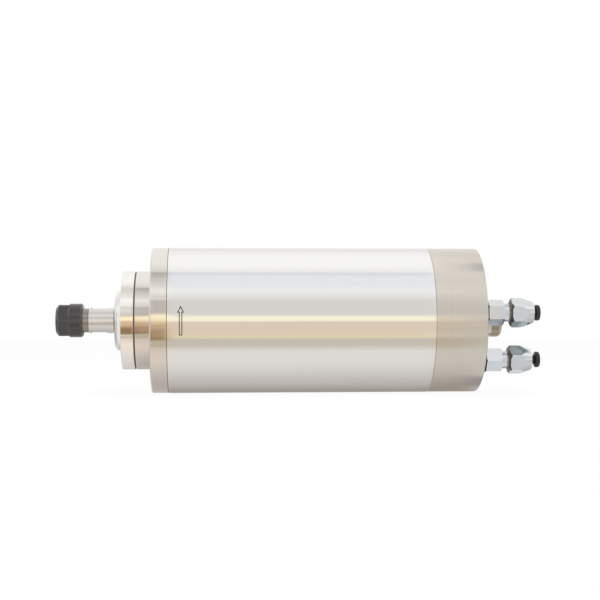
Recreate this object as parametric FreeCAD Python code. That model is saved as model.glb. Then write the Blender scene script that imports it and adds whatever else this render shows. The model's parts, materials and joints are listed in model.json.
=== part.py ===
import FreeCAD, Part
import math
import os

# Water-cooled motor spindle, in millimetres.
# The X axis is the spindle's axis: the nose points to -X, and the origin is at the middle of the tube.
# An angle around the axis is 0 towards +Y and 90 towards +Z.

# Tube, flange, neck and caps
tube_diameter = 80.0
tube_length = 142.2
tube_wall = 2.0
cover_inset = 0.1
flange_thickness = 9.2
neck_diameter = 54.0
neck_length = 8.3
groove_width = 1.2
groove_depth = 1.2
cap_ring_length = 6.45
rear_cap_length = 27.7
edge_round = 0.8
edge_break = 0.3

# Dust cap
dome_diameter = 34.0
dome_height = 4.5
dome_nose_diameter = 19.0
dome_rim_depth = 2.0
dome_corner = 2.6
dome_face_fall = 0.35
dome_side_taper = 0.45
dome_shell = 3.0
labyrinth_gap = 0.4

# Spindle nose
shaft_diameter = 14.0
flat_depth = 0.5
flat_length = 8.65
flat_set_back = 8.65
relief_depth = 0.4
relief_length = 3.35
relief_under_nut = 0.9
cap_seat_diameter = 20.0
nut_reach = 21.85

# Collet nut
nut_length = 14.4
nut_hexagon = 17.0
collar_diameter = 18.5
collar_length = 6.9
collar_chamfer = 0.8
scallop_length = 1.3
nut_face_diameter = 14.4
nut_face_chamfer = 1.7

# Collet
collet_length = 18.0
collet_bore = 6.0
collet_diameter = 11.5
collet_face_diameter = 8.4
collet_shoulder = 0.6
collet_groove_width = 2.0
collet_groove_depth = 1.0
collet_taper_start = 11.2
collet_face_angle = 30.0
collet_taper_angle = 8.0
collet_slots = 6
collet_slot_turn = 7.5
collet_slot_width = 0.5
collet_slot_root = 3.2
collet_recess = 0.3
mouth_gap = 0.4
shank_bore = 7.6
shank_depth = 14.0
lip_bite = 0.65
lip_side_gap = 0.3

# Bearings
front_bore = 25.0
front_outside = 47.0
front_width = 12.0
front_ball = 6.35
front_ball_count = 10
rear_bore = 15.0
rear_outside = 32.0
rear_width = 9.0
rear_ball = 4.76
rear_ball_count = 9
spacer_length = 4.0
spacer_wall = 2.0
race_shoulder = 0.22
race_gap = 0.05
pocket_gap = 0.15
cage_share = 0.28
cap_thread_step = 1.0
cap_spigot_length = 2.4

# Shaft behind the front bearings
shaft_shoulder_height = 2.0
rotor_seat_diameter = 25.0
rear_step_height = 1.5
rear_step_length = 4.0
shaft_tail = 7.0

# Rotor and stator
core_length = 60.0
air_gap = 0.4
stator_bore = 34.0
stator_slots = 18
slot_width = 3.2
slot_depth = 10.0
slot_lining = 0.15
end_turn_length = 12.0
end_turn_margin = 1.5
end_ring_length = 6.0
end_ring_wall = 3.4

# Cooling jacket
jacket_wall = 6.0
pilot_step = 1.0
front_pilot = 4.0
channel_count = 12
channel_depth = 3.0
channel_angle = 17.0
channel_end = 14.0
crossover_length = 9.0
seal_inset = 10.6
seal_width = 2.4
seal_depth = 1.5
port_floor_wall = 0.8
port_height = 1.8
port_angle = 11.0

# Bell, rear bearing housing and preload
hub_wall = 4.0
hub_floor = 4.0
hub_hole_gap = 3.0
rear_bearing_start = 48.0
rear_hub_wall = 5.0
rear_web = 8.0
spring_height = 2.5
spring_sheet = 0.8
rear_hub_floor = 2.0
wire_hole_diameter = 6.0
wire_hole_count = 6
lock_nut_diameter = 25.0
lock_nut_width = 5.0
lock_nut_slot = 4.0
lock_nut_slots = 4

# Rear cap
cap_pilot = 3.0
cap_floor = 4.5
port_wall = 2.45

# Long screws
screw_diameter = 3.0
screw_head_diameter = 5.5
screw_head_height = 3.0
screw_socket = 2.5
screw_socket_depth = 1.5
screw_grip = 8.0
screw_inset = 4.5
screw_count = 4
screw_angle = 20.0
counterbore_gap = 0.3
counterbore_margin = 0.5
spanner_hole = 3.5
spanner_hole_depth = 3.5
spanner_holes = 4

# Hose fittings
fitting_inset = 11.0
upper_angle = 172.2
lower_angle = 228.1
upper_washer = 1.3
lower_washer = 1.95
washer_diameter = 13.6
fitting_hexagon = 12.0
fitting_hexagon_length = 8.6
fitting_hexagon_chamfer = 0.7
upper_hexagon_turn = 180.0
lower_hexagon_turn = 213.6
root_diameter = 9.0
root_length = 8.0
stem_diameter = 10.0
stem_length = 10.6
water_bore = 4.0
hose_diameter = 6.0
hose_depth = 6.0
upper_stand_off = 4.1
lower_stand_off = 4.4
drilling_diameter = 4.0
port_hole_margin = 2.0

# Hose nuts, ferrules and plugs
hose_nut_length = 12.0
hose_nut_hexagon = 14.0
hose_nut_diameter = 15.9
hose_nut_cone = 6.5
hose_nut_nose = 11.9
hose_nut_back_diameter = 13.6
hose_nut_back_chamfer = 1.5
upper_nut_turn = 183.4
lower_nut_turn = 192.7
ferrule_length = 3.4
ferrule_front_diameter = 7.4
ferrule_back_diameter = 9.0
ferrule_seat = 1.2
plug_head_diameter = 8.5
plug_head_length = 3.25
plug_neck_diameter = 4.3
plug_shank_length = 9.0
upper_plug_gap = 0.5
lower_plug_gap = 1.6
plug_round = 0.9
plug_underside = 1.0

# Electrical socket
socket_diameter = 19.2
socket_plain_diameter = 18.6
socket_reach = 14.1
socket_plain_length = 5.6
socket_flange_diameter = 23.0
socket_flange = 2.0
gasket_thickness = 0.5
socket_neck_diameter = 17.0
socket_neck_length = 9.0
socket_hollow_diameter = 16.0
socket_hollow_depth = 8.2
socket_chamfer = 1.0
socket_nut_hexagon = 22.0
socket_nut_thickness = 3.0
insulator_length = 14.0
pin_diameter = 2.0
pin_circle = 10.0
pin_count = 4
pin_recess = 2.0
pin_tail = 4.0

# Fits
fit_gap = 0.05

# Places worked out from the sizes above
tube_radius = tube_diameter / 2
cover_radius = tube_radius - cover_inset
tube_bore_radius = tube_radius - tube_wall
jacket_bore = 2 * (tube_bore_radius - jacket_wall)
half = tube_length / 2
flange_face = -half - flange_thickness
neck_face = flange_face - neck_length
ring_back = neck_face - groove_width
cap_face = ring_back - cap_ring_length
neck_radius = neck_diameter / 2
rear_face = half + rear_cap_length
jacket_radius = tube_bore_radius - fit_gap
pilot_bore_radius = jacket_bore / 2 + pilot_step
pilot_radius = pilot_bore_radius - fit_gap
rear_counterbore = rear_web + cap_pilot

nut_back = cap_face - nut_reach
nut_face = nut_back - nut_length
collet_face = nut_face + collet_recess
collet_back = collet_face + collet_length
face_slope = math.tan(math.radians(collet_face_angle))
taper_slope = math.tan(math.radians(collet_taper_angle))
shoulder_start = collet_face + (collet_diameter - collet_face_diameter) / 2 / face_slope
shoulder_end = shoulder_start + collet_shoulder
taper_start = shoulder_end + collet_groove_width
mouth = taper_start + mouth_gap

front_bearing_start = neck_face + cap_spigot_length
front_pair_end = front_bearing_start + 2 * front_width + spacer_length
rear_pair_end = rear_bearing_start + 2 * rear_width
rear_hub_start = rear_bearing_start - spring_height - rear_hub_floor
rear_web_start = half - rear_counterbore
rear_web_end = half - cap_pilot
shaft_end = rear_pair_end + shaft_tail
screw_radius = tube_radius - screw_inset
fitting_radius = tube_radius - fitting_inset
wiring_radius = fitting_radius - root_diameter / 2 - fit_gap - port_wall
spanner_radius = (dome_diameter / 2 + labyrinth_gap + neck_radius) / 2
cap_thread_radius = front_outside / 2 + cap_thread_step
shaft_shoulder_radius = front_bore / 2 + shaft_shoulder_height
rear_step_radius = rear_bore / 2 + rear_step_height
port_floor = pilot_bore_radius + port_floor_wall
port_middle = port_floor + port_height / 2
gasket_back = rear_face + gasket_thickness
socket_end = rear_face + socket_reach
hollow_floor = socket_end - socket_hollow_depth

# How far the middle of a quarter round lies inside its two edges, as a share of its radius
arc_share = 1 - math.sqrt(0.5)
origin = FreeCAD.Vector(0, 0, 0)
along = FreeCAD.Vector(1, 0, 0)


def polar(x, radius, degrees):
    turn = math.radians(degrees)
    return FreeCAD.Vector(x, radius * math.cos(turn), radius * math.sin(turn))


# A solid of revolution about the X axis from corners (x, radius).
# A corner of four values is reached by an arc through its first two.
def turned(corners, sweep=360.0):
    edges = []
    start = polar(corners[0][0], corners[0][1], 0)
    for corner in corners[1:] + corners[:1]:
        end = polar(corner[-2], corner[-1], 0)
        if len(corner) == 4:
            edges.append(Part.Arc(start, polar(corner[0], corner[1], 0), end).toShape())
        else:
            edges.append(Part.makeLine(start, end))
        start = end
    return Part.Face(Part.Wire(edges)).revolve(origin, along, sweep)


def ring(inner, outer, low, high):
    return turned([(low, inner), (low, outer), (high, outer), (high, inner)])


def sector(inner, outer, low, high, middle, angle):
    wedge = turned([(low, inner), (low, outer), (high, outer), (high, inner)], angle)
    wedge.rotate(origin, along, middle - angle / 2)
    return wedge


def rod(radius, low, high, offset=0.0, degrees=0.0):
    return Part.makeCylinder(radius, high - low, polar(low, offset, degrees), along)


def hexagon(across_flats, low, high, flat_angle):
    corner_radius = across_flats / math.sqrt(3)
    corners = [polar(low, corner_radius, flat_angle + 30 + 60 * i) for i in range(7)]
    return Part.Face(Part.makePolygon(corners)).extrude(along * (high - low))


# A block that stands on the axis and reaches outwards at an angle around it.
def spoke(width, inner, outer, low, high, degrees):
    block = Part.makeBox(high - low, outer - inner, width, FreeCAD.Vector(low, inner, -width / 2))
    block.rotate(origin, along, degrees)
    return block


def around(count, first=0.0):
    return [first + 360.0 * i / count for i in range(count)]


# Tube, jacket and covers
def outer_tube():
    return ring(tube_bore_radius, tube_radius, -half, half)


def channel_angles():
    span = 360.0 - (lower_angle - upper_angle)
    pitch = span / (channel_count - 1)
    return [lower_angle + pitch * i for i in range(channel_count)]


def water_jacket():
    bore = jacket_bore / 2
    groove = jacket_radius - seal_depth
    seal = half - seal_inset
    shape = turned([
        (-half, pilot_bore_radius), (-half, jacket_radius),
        (-seal - seal_width, jacket_radius), (-seal - seal_width, groove),
        (-seal, groove), (-seal, jacket_radius),
        (seal, jacket_radius), (seal, groove),
        (seal + seal_width, groove), (seal + seal_width, jacket_radius),
        (half, jacket_radius), (half, pilot_bore_radius),
        (rear_web_start, pilot_bore_radius), (rear_web_start, bore),
        (front_pilot - half, bore), (front_pilot - half, pilot_bore_radius),
    ])
    floor = jacket_radius - channel_depth
    outside = tube_radius
    low = channel_end - half
    high = half - channel_end
    angles = channel_angles()
    cuts = [sector(floor, outside, low, high, angle, channel_angle) for angle in angles]
    # The water turns back at the front and at the rear by turns
    for i in range(channel_count - 1):
        middle = (angles[i] + angles[i + 1]) / 2
        start = low if i % 2 == 0 else high - crossover_length
        end = start + crossover_length
        cuts.append(sector(floor, outside, start, end, middle, angles[i + 1] - angles[i]))
    for angle in (angles[0], angles[-1]):
        reach = high - port_height
        cuts.append(sector(port_floor, port_floor + port_height, reach, half + 1, angle, port_angle))
    hole = screw_diameter / 2 + fit_gap
    deep = screw_grip + edge_round
    for angle in around(screw_count, screw_angle):
        cuts.append(rod(hole, -half, deep - half, screw_radius, angle))
        cuts.append(rod(hole, half - deep, half, screw_radius, angle))
    return shape.cut(cuts)


def jacket_seals():
    seals = []
    chamfer = edge_break
    for low in (-half + seal_inset - seal_width, half - seal_inset):
        a = low + fit_gap
        b = low + seal_width - fit_gap
        inner = jacket_radius - seal_depth + fit_gap
        outer = tube_bore_radius
        seals.append(turned([
            (a, inner + chamfer), (a, outer - chamfer), (a + chamfer, outer), (b - chamfer, outer),
            (b, outer - chamfer), (b, inner + chamfer), (b - chamfer, inner), (a + chamfer, inner),
        ]))
    return Part.makeCompound(seals)


def front_end_bell():
    bore = front_outside / 2
    thread = cap_thread_radius
    bend = edge_round * arc_share
    hub = bore + hub_wall
    hub_end = front_pair_end + hub_floor
    hole = shaft_shoulder_radius + hub_hole_gap
    shape = turned([
        (neck_face, thread), (neck_face, neck_radius - edge_break), (neck_face + edge_break, neck_radius),
        (flange_face, neck_radius), (flange_face, cover_radius - edge_round),
        (flange_face + bend, cover_radius - bend, flange_face + edge_round, cover_radius),
        (-half, cover_radius), (-half, pilot_radius), (front_pilot - half, pilot_radius),
        (front_pilot - half, hub), (hub_end, hub), (hub_end, hole), (front_pair_end, hole),
        (front_pair_end, bore), (front_bearing_start, bore), (front_bearing_start, thread),
    ])
    head = screw_head_diameter / 2 + counterbore_gap
    seat = flange_face + screw_head_height + counterbore_margin
    for angle in around(screw_count, screw_angle):
        shape = shape.cut(rod(head, flange_face - 1, seat, screw_radius, angle))
        shape = shape.cut(rod(screw_diameter / 2 + fit_gap, seat - 1, 1 - half, screw_radius, angle))
    return shape


def front_bearing_cap():
    spigot = cap_thread_radius - fit_gap
    bend = edge_round * arc_share
    floor = neck_radius - groove_depth
    hub = dust_cap_hub()
    recess = dome_diameter / 2 + labyrinth_gap
    recess_floor = cap_face + dome_rim_depth + labyrinth_gap
    bore = hub + labyrinth_gap
    pocket = front_outside / 2 - spacer_wall - labyrinth_gap
    shape = turned([
        (cap_face, recess), (cap_face, neck_radius - edge_round),
        (cap_face + bend, neck_radius - bend, cap_face + edge_round, neck_radius),
        (ring_back - edge_break, neck_radius), (ring_back, neck_radius - edge_break), (ring_back, floor),
        (neck_face, floor), (neck_face, spigot), (front_bearing_start, spigot),
        (front_bearing_start, pocket), (neck_face, pocket), (neck_face, bore),
        (recess_floor, bore), (recess_floor, recess),
    ])
    low = cap_face - 1
    high = cap_face + spanner_hole_depth
    for angle in around(spanner_holes, screw_angle):
        shape = shape.cut(rod(spanner_hole / 2, low, high, spanner_radius, angle))
    return shape


def rear_bearing_housing():
    bore = rear_outside / 2 + fit_gap
    hub = rear_outside / 2 + rear_hub_wall
    hole = rear_outside / 2 - rear_hub_wall
    hub_inside = rear_hub_start + rear_hub_floor
    shape = turned([
        (rear_hub_start, hole), (rear_hub_start, hub - edge_round), (rear_hub_start + edge_round, hub),
        (rear_web_start, hub), (rear_web_start, pilot_radius), (rear_web_end, pilot_radius),
        (rear_web_end, bore), (hub_inside, bore), (hub_inside, hole),
    ])
    circle = (hub + pilot_radius) / 2
    for angle in around(wire_hole_count):
        shape = shape.cut(rod(wire_hole_diameter / 2, rear_web_start - 1, rear_web_end + 1, circle, angle))
    return shape


def preload_spring():
    inner = rear_outside / 2 - rear_hub_wall + edge_round
    outer = rear_outside / 2 - fit_gap
    low = rear_hub_start + rear_hub_floor
    high = rear_bearing_start
    return turned([
        (low, inner), (high - spring_sheet, outer), (high, outer), (low + spring_sheet, inner),
    ])


def rear_cap():
    floor = rear_face - cap_floor
    shape = turned([
        (rear_web_end, wiring_radius), (rear_web_end, pilot_radius), (half, pilot_radius),
        (half, cover_radius), (rear_face - edge_round, cover_radius),
        (rear_face, cover_radius - edge_round),
        (rear_face, socket_neck_diameter / 2 + fit_gap), (floor, socket_neck_diameter / 2 + fit_gap),
        (floor, wiring_radius),
    ])
    cuts = []
    seat = rear_face - screw_head_height - counterbore_margin
    for angle in around(screw_count, screw_angle):
        head = screw_head_diameter / 2 + counterbore_gap
        cuts.append(rod(head, seat, rear_face + 1, screw_radius, angle))
        cuts.append(rod(screw_diameter / 2 + fit_gap, half - 1, seat + 1, screw_radius, angle))
    for angle in (upper_angle, lower_angle):
        bottom = rear_face - root_length - port_hole_margin
        cuts.append(rod(root_diameter / 2 + fit_gap, bottom, rear_face + 1, fitting_radius, angle))
        start = polar(bottom + port_hole_margin, fitting_radius, angle)
        toward = polar(half, port_middle, angle) - start
        reach = toward.Length + port_hole_margin
        cuts.append(Part.makeCylinder(drilling_diameter / 2, reach, start, toward))
    return shape.cut(cuts)


# Socket-head screw with its head's top at x and its point towards the sign of inward
def cap_screw(top, inward, length):
    socket = hexagon(screw_socket, top, top + inward * screw_socket_depth, 30)
    under = top + inward * screw_head_height
    head = screw_head_diameter / 2
    body = screw_diameter / 2
    point = under + inward * length
    shape = turned([
        (top, 0), (top, head - edge_break), (top + inward * edge_break, head), (under, head), (under, body),
        (point - inward * edge_break, body), (point, body - edge_break), (point, 0),
    ])
    return shape.cut(socket)


def screws(top, inward, length):
    shape = cap_screw(top, inward, length)
    copies = []
    for angle in around(screw_count, screw_angle):
        copy = shape.copy()
        copy.translate(polar(0, screw_radius, angle))
        copies.append(copy)
    return Part.makeCompound(copies)


def flange_screws():
    seat = counterbore_margin + screw_head_height
    return screws(flange_face + counterbore_margin, 1, flange_thickness - seat + screw_grip)


def rear_cap_screws():
    seat = counterbore_margin + screw_head_height
    return screws(rear_face - counterbore_margin, -1, rear_cap_length - seat + screw_grip)


# Angular-contact bearings: each pair is given by the starts of its two rows
def inner_ring(low, bore, outside, width, ball):
    pitch = (bore + outside) / 4
    middle = low + width / 2
    shoulder = pitch - race_shoulder * ball
    groove = ball / 2 + race_gap
    reach = math.sqrt(groove ** 2 - (pitch - shoulder) ** 2)
    return turned([
        (low, bore / 2), (low, shoulder), (middle - reach, shoulder),
        (middle, pitch - groove, middle + reach, shoulder),
        (low + width, shoulder), (low + width, bore / 2),
    ])


def outer_ring(low, bore, outside, width, ball):
    pitch = (bore + outside) / 4
    middle = low + width / 2
    shoulder = pitch + race_shoulder * ball
    groove = ball / 2 + race_gap
    reach = math.sqrt(groove ** 2 - (shoulder - pitch) ** 2)
    bend = math.radians(45)
    seat = outside / 2 - fit_gap
    return turned([
        (low, seat), (low, shoulder), (middle - reach, shoulder),
        (middle - groove * math.cos(bend), pitch + groove * math.sin(bend), middle, pitch + groove),
        (low + width, pitch + groove - edge_break), (low + width, seat),
    ])


def balls(low, bore, outside, width, ball, count):
    pitch = (bore + outside) / 4
    middle = low + width / 2
    return [Part.makeSphere(ball / 2, polar(middle, pitch, angle)) for angle in around(count)]


def cage(low, bore, outside, width, ball, count):
    pitch = (bore + outside) / 4
    middle = low + width / 2
    wall = cage_share * ball
    side = ball / 2 + wall / 2
    shape = ring(pitch - wall / 2, pitch + wall / 2, middle - side, middle + side)
    pockets = []
    for angle in around(count):
        start = polar(middle, pitch - wall, angle)
        pockets.append(Part.makeCylinder(ball / 2 + pocket_gap, 2 * wall, start, polar(0, 1, angle)))
    return shape.cut(pockets)


front_sizes = (front_bore, front_outside, front_width, front_ball)
rear_sizes = (rear_bore, rear_outside, rear_width, rear_ball)
front_rows = (front_bearing_start, front_bearing_start + front_width + spacer_length)
rear_rows = (rear_bearing_start, rear_bearing_start + rear_width)


def pair(maker, rows, sizes):
    return Part.makeCompound([maker(low, *sizes) for low in rows])


def ball_rows(rows, sizes, count):
    return Part.makeCompound([ball for low in rows for ball in balls(low, *sizes, count)])


def cage_rows(rows, sizes, count):
    return Part.makeCompound([cage(low, *sizes, count) for low in rows])


def outer_spacer():
    low = front_bearing_start + front_width
    outer = front_outside / 2 - fit_gap
    return ring(outer - spacer_wall, outer, low, low + spacer_length)


def inner_spacer():
    low = front_bearing_start + front_width
    inner = front_bore / 2
    return ring(inner, inner + spacer_wall, low, low + spacer_length)


# Rotor
def collet_cone(x, gap):
    return collet_taper_start / 2 - (x - taper_start) * taper_slope + gap


def spindle_shaft():
    nose = shaft_diameter / 2
    relief_start = nut_back - relief_under_nut
    relief_end = nut_back + relief_length
    seat = cap_seat_diameter / 2
    seat_start = cap_face - dome_height + dome_shell
    front_seat = front_bore / 2 - fit_gap
    shoulder = shaft_shoulder_radius
    rotor_seat = rotor_seat_diameter / 2
    rear_seat = rear_bore / 2 - fit_gap
    bottom = collet_back + shank_depth
    cone_end = collet_back + 1
    shape = turned([
        (mouth, collet_cone(mouth, fit_gap)), (mouth, nose - edge_round), (mouth + edge_round, nose),
        (relief_start, nose), (relief_start + edge_break, nose - relief_depth),
        (relief_end - edge_break, nose - relief_depth), (relief_end, nose),
        (seat_start, nose), (seat_start, seat), (front_bearing_start + edge_break, seat),
        (front_bearing_start + edge_break, front_seat), (front_pair_end, front_seat),
        (front_pair_end, shoulder), (-core_length / 2 - end_ring_length, shoulder),
        (-core_length / 2 - end_ring_length, rotor_seat), (core_length / 2 + end_ring_length, rotor_seat),
        (rear_bearing_start - rear_step_length, rear_step_radius), (rear_bearing_start, rear_step_radius),
        (rear_bearing_start, rear_seat), (shaft_end - edge_round, rear_seat),
        (shaft_end, rear_seat - edge_round), (shaft_end, 0), (bottom + shank_bore / 4, 0),
        (bottom, shank_bore / 2), (cone_end, shank_bore / 2), (cone_end, collet_cone(cone_end, fit_gap)),
    ])
    flat = nose - flat_depth
    high = cap_face - flat_set_back
    low = high - flat_length
    for side in (90, 270):
        shape = shape.cut(spoke(shaft_diameter, flat, shaft_diameter, low, high, side))
    return shape


def dust_cap_hub():
    return front_bore / 2 + spacer_wall


def dust_cap():
    nose = cap_face - dome_height
    seat = cap_seat_diameter / 2 + fit_gap
    rim = dome_diameter / 2
    back = cap_face + dome_rim_depth
    hub = dust_cap_hub()
    hole = shaft_diameter / 2 + labyrinth_gap
    flat = dome_nose_diameter / 2
    shoulder = nose + dome_face_fall
    side = rim - dome_side_taper
    bend = dome_corner * arc_share
    return turned([
        (nose, hole), (nose, flat), (shoulder, side - dome_corner),
        (shoulder + bend, side - bend, shoulder + dome_corner, side), (cap_face, rim), (back, rim),
        (back, hub), (front_bearing_start, hub), (front_bearing_start, seat),
        (nose + dome_shell, seat), (nose + dome_shell, hole),
    ])


def rotor_core():
    return ring(rotor_seat_diameter / 2, stator_bore / 2 - air_gap, -core_length / 2, core_length / 2)


def rotor_end_rings():
    outer = stator_bore / 2 - air_gap - edge_break
    inner = outer - end_ring_wall
    low = core_length / 2
    rings = []
    for side in (-1, 1):
        rings.append(turned([
            (side * low, inner), (side * low, outer), (side * (low + end_ring_length - edge_round), outer),
            (side * (low + end_ring_length), outer - edge_round), (side * (low + end_ring_length), inner),
        ]))
    return Part.makeCompound(rings)


def rear_lock_nut():
    low = rear_pair_end
    high = low + lock_nut_width
    outer = lock_nut_diameter / 2
    shape = ring(rear_bore / 2, outer, low, high)
    floor = outer - lock_nut_slot / 2
    for angle in around(lock_nut_slots, 45):
        shape = shape.cut(spoke(lock_nut_slot, floor, outer + 1, low - 1, high + 1, angle))
    return shape


# Stator
def stator_core():
    shape = ring(stator_bore / 2, jacket_bore / 2 - fit_gap, -core_length / 2, core_length / 2)
    inner = stator_bore / 2
    low = -core_length / 2 - 1
    slots = [spoke(slot_width, inner - 1, inner + slot_depth, low, -low, a) for a in around(stator_slots)]
    return shape.cut(slots)


def stator_windings():
    inner = stator_bore / 2 + end_turn_margin
    outer = jacket_bore / 2 - end_turn_margin
    low = core_length / 2 + edge_break
    high = low + end_turn_length
    bulge = end_turn_length / 4
    pieces = []
    for side in (-1, 1):
        pieces.append(turned([
            (side * low, inner), (side * low, outer), (side * (high - bulge), outer),
            (side * high, (inner + outer) / 2, side * (high - bulge), inner),
        ]))
    depth = stator_bore / 2 + slot_depth - slot_lining
    for angle in around(stator_slots):
        pieces.append(spoke(slot_width - 2 * slot_lining, inner, depth, -low - 1, low + 1, angle))
    return pieces[0].fuse(pieces[1:])


# Collet and its nut
def collet():
    outer = collet_diameter / 2
    face = collet_face_diameter / 2
    groove = collet_taper_start / 2 - collet_groove_depth
    bore = collet_bore / 2
    shape = turned([
        (collet_face, bore), (collet_face, face), (shoulder_start, outer), (shoulder_end, outer),
        (shoulder_end, groove), (taper_start, groove), (taper_start, collet_taper_start / 2),
        (collet_back, collet_cone(collet_back, 0)), (collet_back, bore),
    ])
    step = 180.0 / collet_slots
    cuts = []
    high = collet_back - collet_slot_root
    low = collet_face + collet_slot_root
    for angle in around(collet_slots, collet_slot_turn):
        cuts.append(spoke(collet_slot_width, 0, outer + 1, collet_face - 1, high, angle))
        cuts.append(spoke(collet_slot_width, 0, outer + 1, low, collet_back + 1, angle + step))
    return shape.cut(cuts)


def collet_nut():
    collar = collar_diameter / 2
    hex_end = nut_face + nut_length - collar_length
    flat = nut_hexagon / 2
    face = nut_face_diameter / 2
    envelope = turned([
        (nut_face, 0), (nut_face, face), (nut_face + nut_face_chamfer, collar),
        (hex_end, collar), (hex_end, 0),
    ])
    head = hexagon(nut_hexagon, nut_face, hex_end, 90).common(envelope)
    barrel = turned([
        (hex_end - scallop_length, 0), (hex_end - scallop_length, flat - edge_break), (hex_end, collar),
        (nut_back - collar_chamfer, collar), (nut_back, collar - collar_chamfer), (nut_back, 0),
    ])
    seat = collet_diameter / 2 + fit_gap
    lip = collet_taper_start / 2 - lip_bite
    lip_start = shoulder_end + lip_side_gap
    lip_end = taper_start - lip_side_gap
    thread = shaft_diameter / 2 + fit_gap
    hole = collet_face_diameter / 2 + fit_gap - collet_recess * face_slope
    inside = turned([
        (nut_face, 0), (nut_face, hole), (shoulder_start, seat), (lip_start, seat), (lip_start, lip),
        (lip_end, lip), (lip_end, thread), (nut_back - edge_break, thread), (nut_back, thread + edge_break),
        (nut_back, 0),
    ])
    return head.fuse(barrel).removeSplitter().cut(inside)


# Hose fittings, each made on the axis and then moved to its place
def on_fitting(shape, angle):
    shape.translate(polar(0, fitting_radius, angle))
    return shape


def seal_washer(washer, angle):
    hole = root_diameter / 2 + fit_gap
    return on_fitting(ring(hole, washer_diameter / 2, rear_face, rear_face + washer), angle)


def fitting_body(washer, hexagon_turn, angle):
    base = rear_face + washer
    top = base + fitting_hexagon_length
    end = top + stem_length
    corner = fitting_hexagon / math.sqrt(3)
    chamfer = fitting_hexagon_chamfer
    low = base - washer - root_length
    envelope = turned([
        (base, 0), (base, corner - chamfer), (base + chamfer / 2, corner), (top - chamfer / 2, corner),
        (top, corner - chamfer), (top, 0),
    ])
    head = hexagon(fitting_hexagon, base, top, hexagon_turn).common(envelope)
    stem = turned([
        (low, 0), (low, root_diameter / 2 - edge_round), (low + edge_round, root_diameter / 2),
        (base, root_diameter / 2), (top, root_diameter / 2), (top, stem_diameter / 2),
        (end - edge_round, stem_diameter / 2), (end, stem_diameter / 2 - edge_round), (end, 0),
    ])
    hose = hose_diameter / 2 + fit_gap
    mouth_radius = ferrule_front_diameter / 2 + fit_gap
    inside = turned([
        (low, 0), (low, water_bore / 2), (end - hose_depth, water_bore / 2), (end - hose_depth, hose),
        (end - ferrule_seat, hose), (end, mouth_radius), (end, 0),
    ])
    return on_fitting(head.fuse(stem).cut(inside), angle)


def nut_start(washer, stand_off):
    return rear_face + washer + fitting_hexagon_length + stand_off


def stem_end(washer):
    return rear_face + washer + fitting_hexagon_length + stem_length


def ferrule(washer, angle):
    end = stem_end(washer)
    low = end - ferrule_seat / 2
    high = low + ferrule_length
    bore = hose_diameter / 2 + fit_gap
    front = bore + edge_break
    lead = end + fit_gap
    middle = ferrule_front_diameter / 2 - edge_break
    return on_fitting(turned([
        (low, bore), (low, front), (lead, middle), (lead, ferrule_front_diameter / 2),
        (high - ferrule_seat, ferrule_back_diameter / 2), (high, bore + edge_round), (high, bore),
    ]), angle)


def fitting_nut(washer, stand_off, turn, angle):
    low = nut_start(washer, stand_off)
    high = low + hose_nut_length
    outer = hose_nut_diameter / 2
    envelope = turned([
        (low, 0), (low, hose_nut_back_diameter / 2), (low + hose_nut_back_chamfer, outer),
        (high - hose_nut_cone, outer), (high - edge_break, hose_nut_nose / 2),
        (high, hose_nut_nose / 2 - edge_break), (high, 0),
    ])
    head = hexagon(hose_nut_hexagon, low, high, turn).common(envelope)
    hose = hose_diameter / 2 + 2 * fit_gap
    thread = stem_diameter / 2 + fit_gap
    ferrule_high = stem_end(washer) - ferrule_seat / 2 + ferrule_length
    back = ferrule_high - ferrule_seat + fit_gap
    inside = turned([
        (low, 0), (low, thread + edge_round), (low + edge_round, thread), (back, thread),
        (ferrule_high + fit_gap, hose_diameter / 2 + edge_round + fit_gap), (ferrule_high + fit_gap, hose),
        (high, hose), (high, 0),
    ])
    return on_fitting(head.cut(inside), angle)


def dust_plug(washer, stand_off, gap, angle):
    nut_end = nut_start(washer, stand_off) + hose_nut_length
    low = nut_end + gap
    high = low + plug_head_length
    neck = plug_neck_diameter / 2
    head = plug_head_diameter / 2
    shank = hose_diameter / 2
    root = nut_end - plug_shank_length
    return on_fitting(turned([
        (root, 0), (root, shank - edge_break), (root + edge_break, shank), (nut_end - edge_break, shank),
        (nut_end, neck), (low, neck), (low + plug_underside, head), (high - plug_round, head),
        (high - plug_round * arc_share, head - plug_round * arc_share, high, head - plug_round), (high, 0),
    ]), angle)


# Electrical socket
def socket_shell():
    flange = socket_flange_diameter / 2
    flange_end = gasket_back + socket_flange
    plain_end = flange_end + socket_plain_length
    neck = socket_neck_diameter / 2
    thread = socket_diameter / 2
    plain = socket_plain_diameter / 2
    hollow = socket_hollow_diameter / 2
    body_hole = insulator_radius() + fit_gap
    low = gasket_back - socket_neck_length
    return turned([
        (low, body_hole), (low, neck), (gasket_back, neck), (gasket_back, flange),
        (flange_end - edge_break, flange), (flange_end, flange - edge_break),
        (flange_end, plain), (plain_end, plain), (plain_end, thread), (socket_end - socket_chamfer, thread),
        (socket_end, thread - socket_chamfer), (socket_end, hollow), (hollow_floor, hollow),
        (hollow_floor, body_hole),
    ])


def insulator_radius():
    return socket_neck_diameter / 2 - edge_round


def socket_gasket():
    return ring(socket_neck_diameter / 2 + fit_gap, socket_flange_diameter / 2, rear_face, gasket_back)


def socket_nut():
    high = rear_face - cap_floor
    low = high - socket_nut_thickness
    return hexagon(socket_nut_hexagon, low, high, 0).cut(rod(socket_neck_diameter / 2, low - 1, high + 1))


def socket_insulator():
    low = hollow_floor - insulator_length
    holes = []
    for angle in around(pin_count, 45):
        holes.append(rod(pin_diameter / 2, low - 1, hollow_floor + 1, pin_circle / 2, angle))
    return rod(insulator_radius(), low, hollow_floor).cut(holes)


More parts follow.
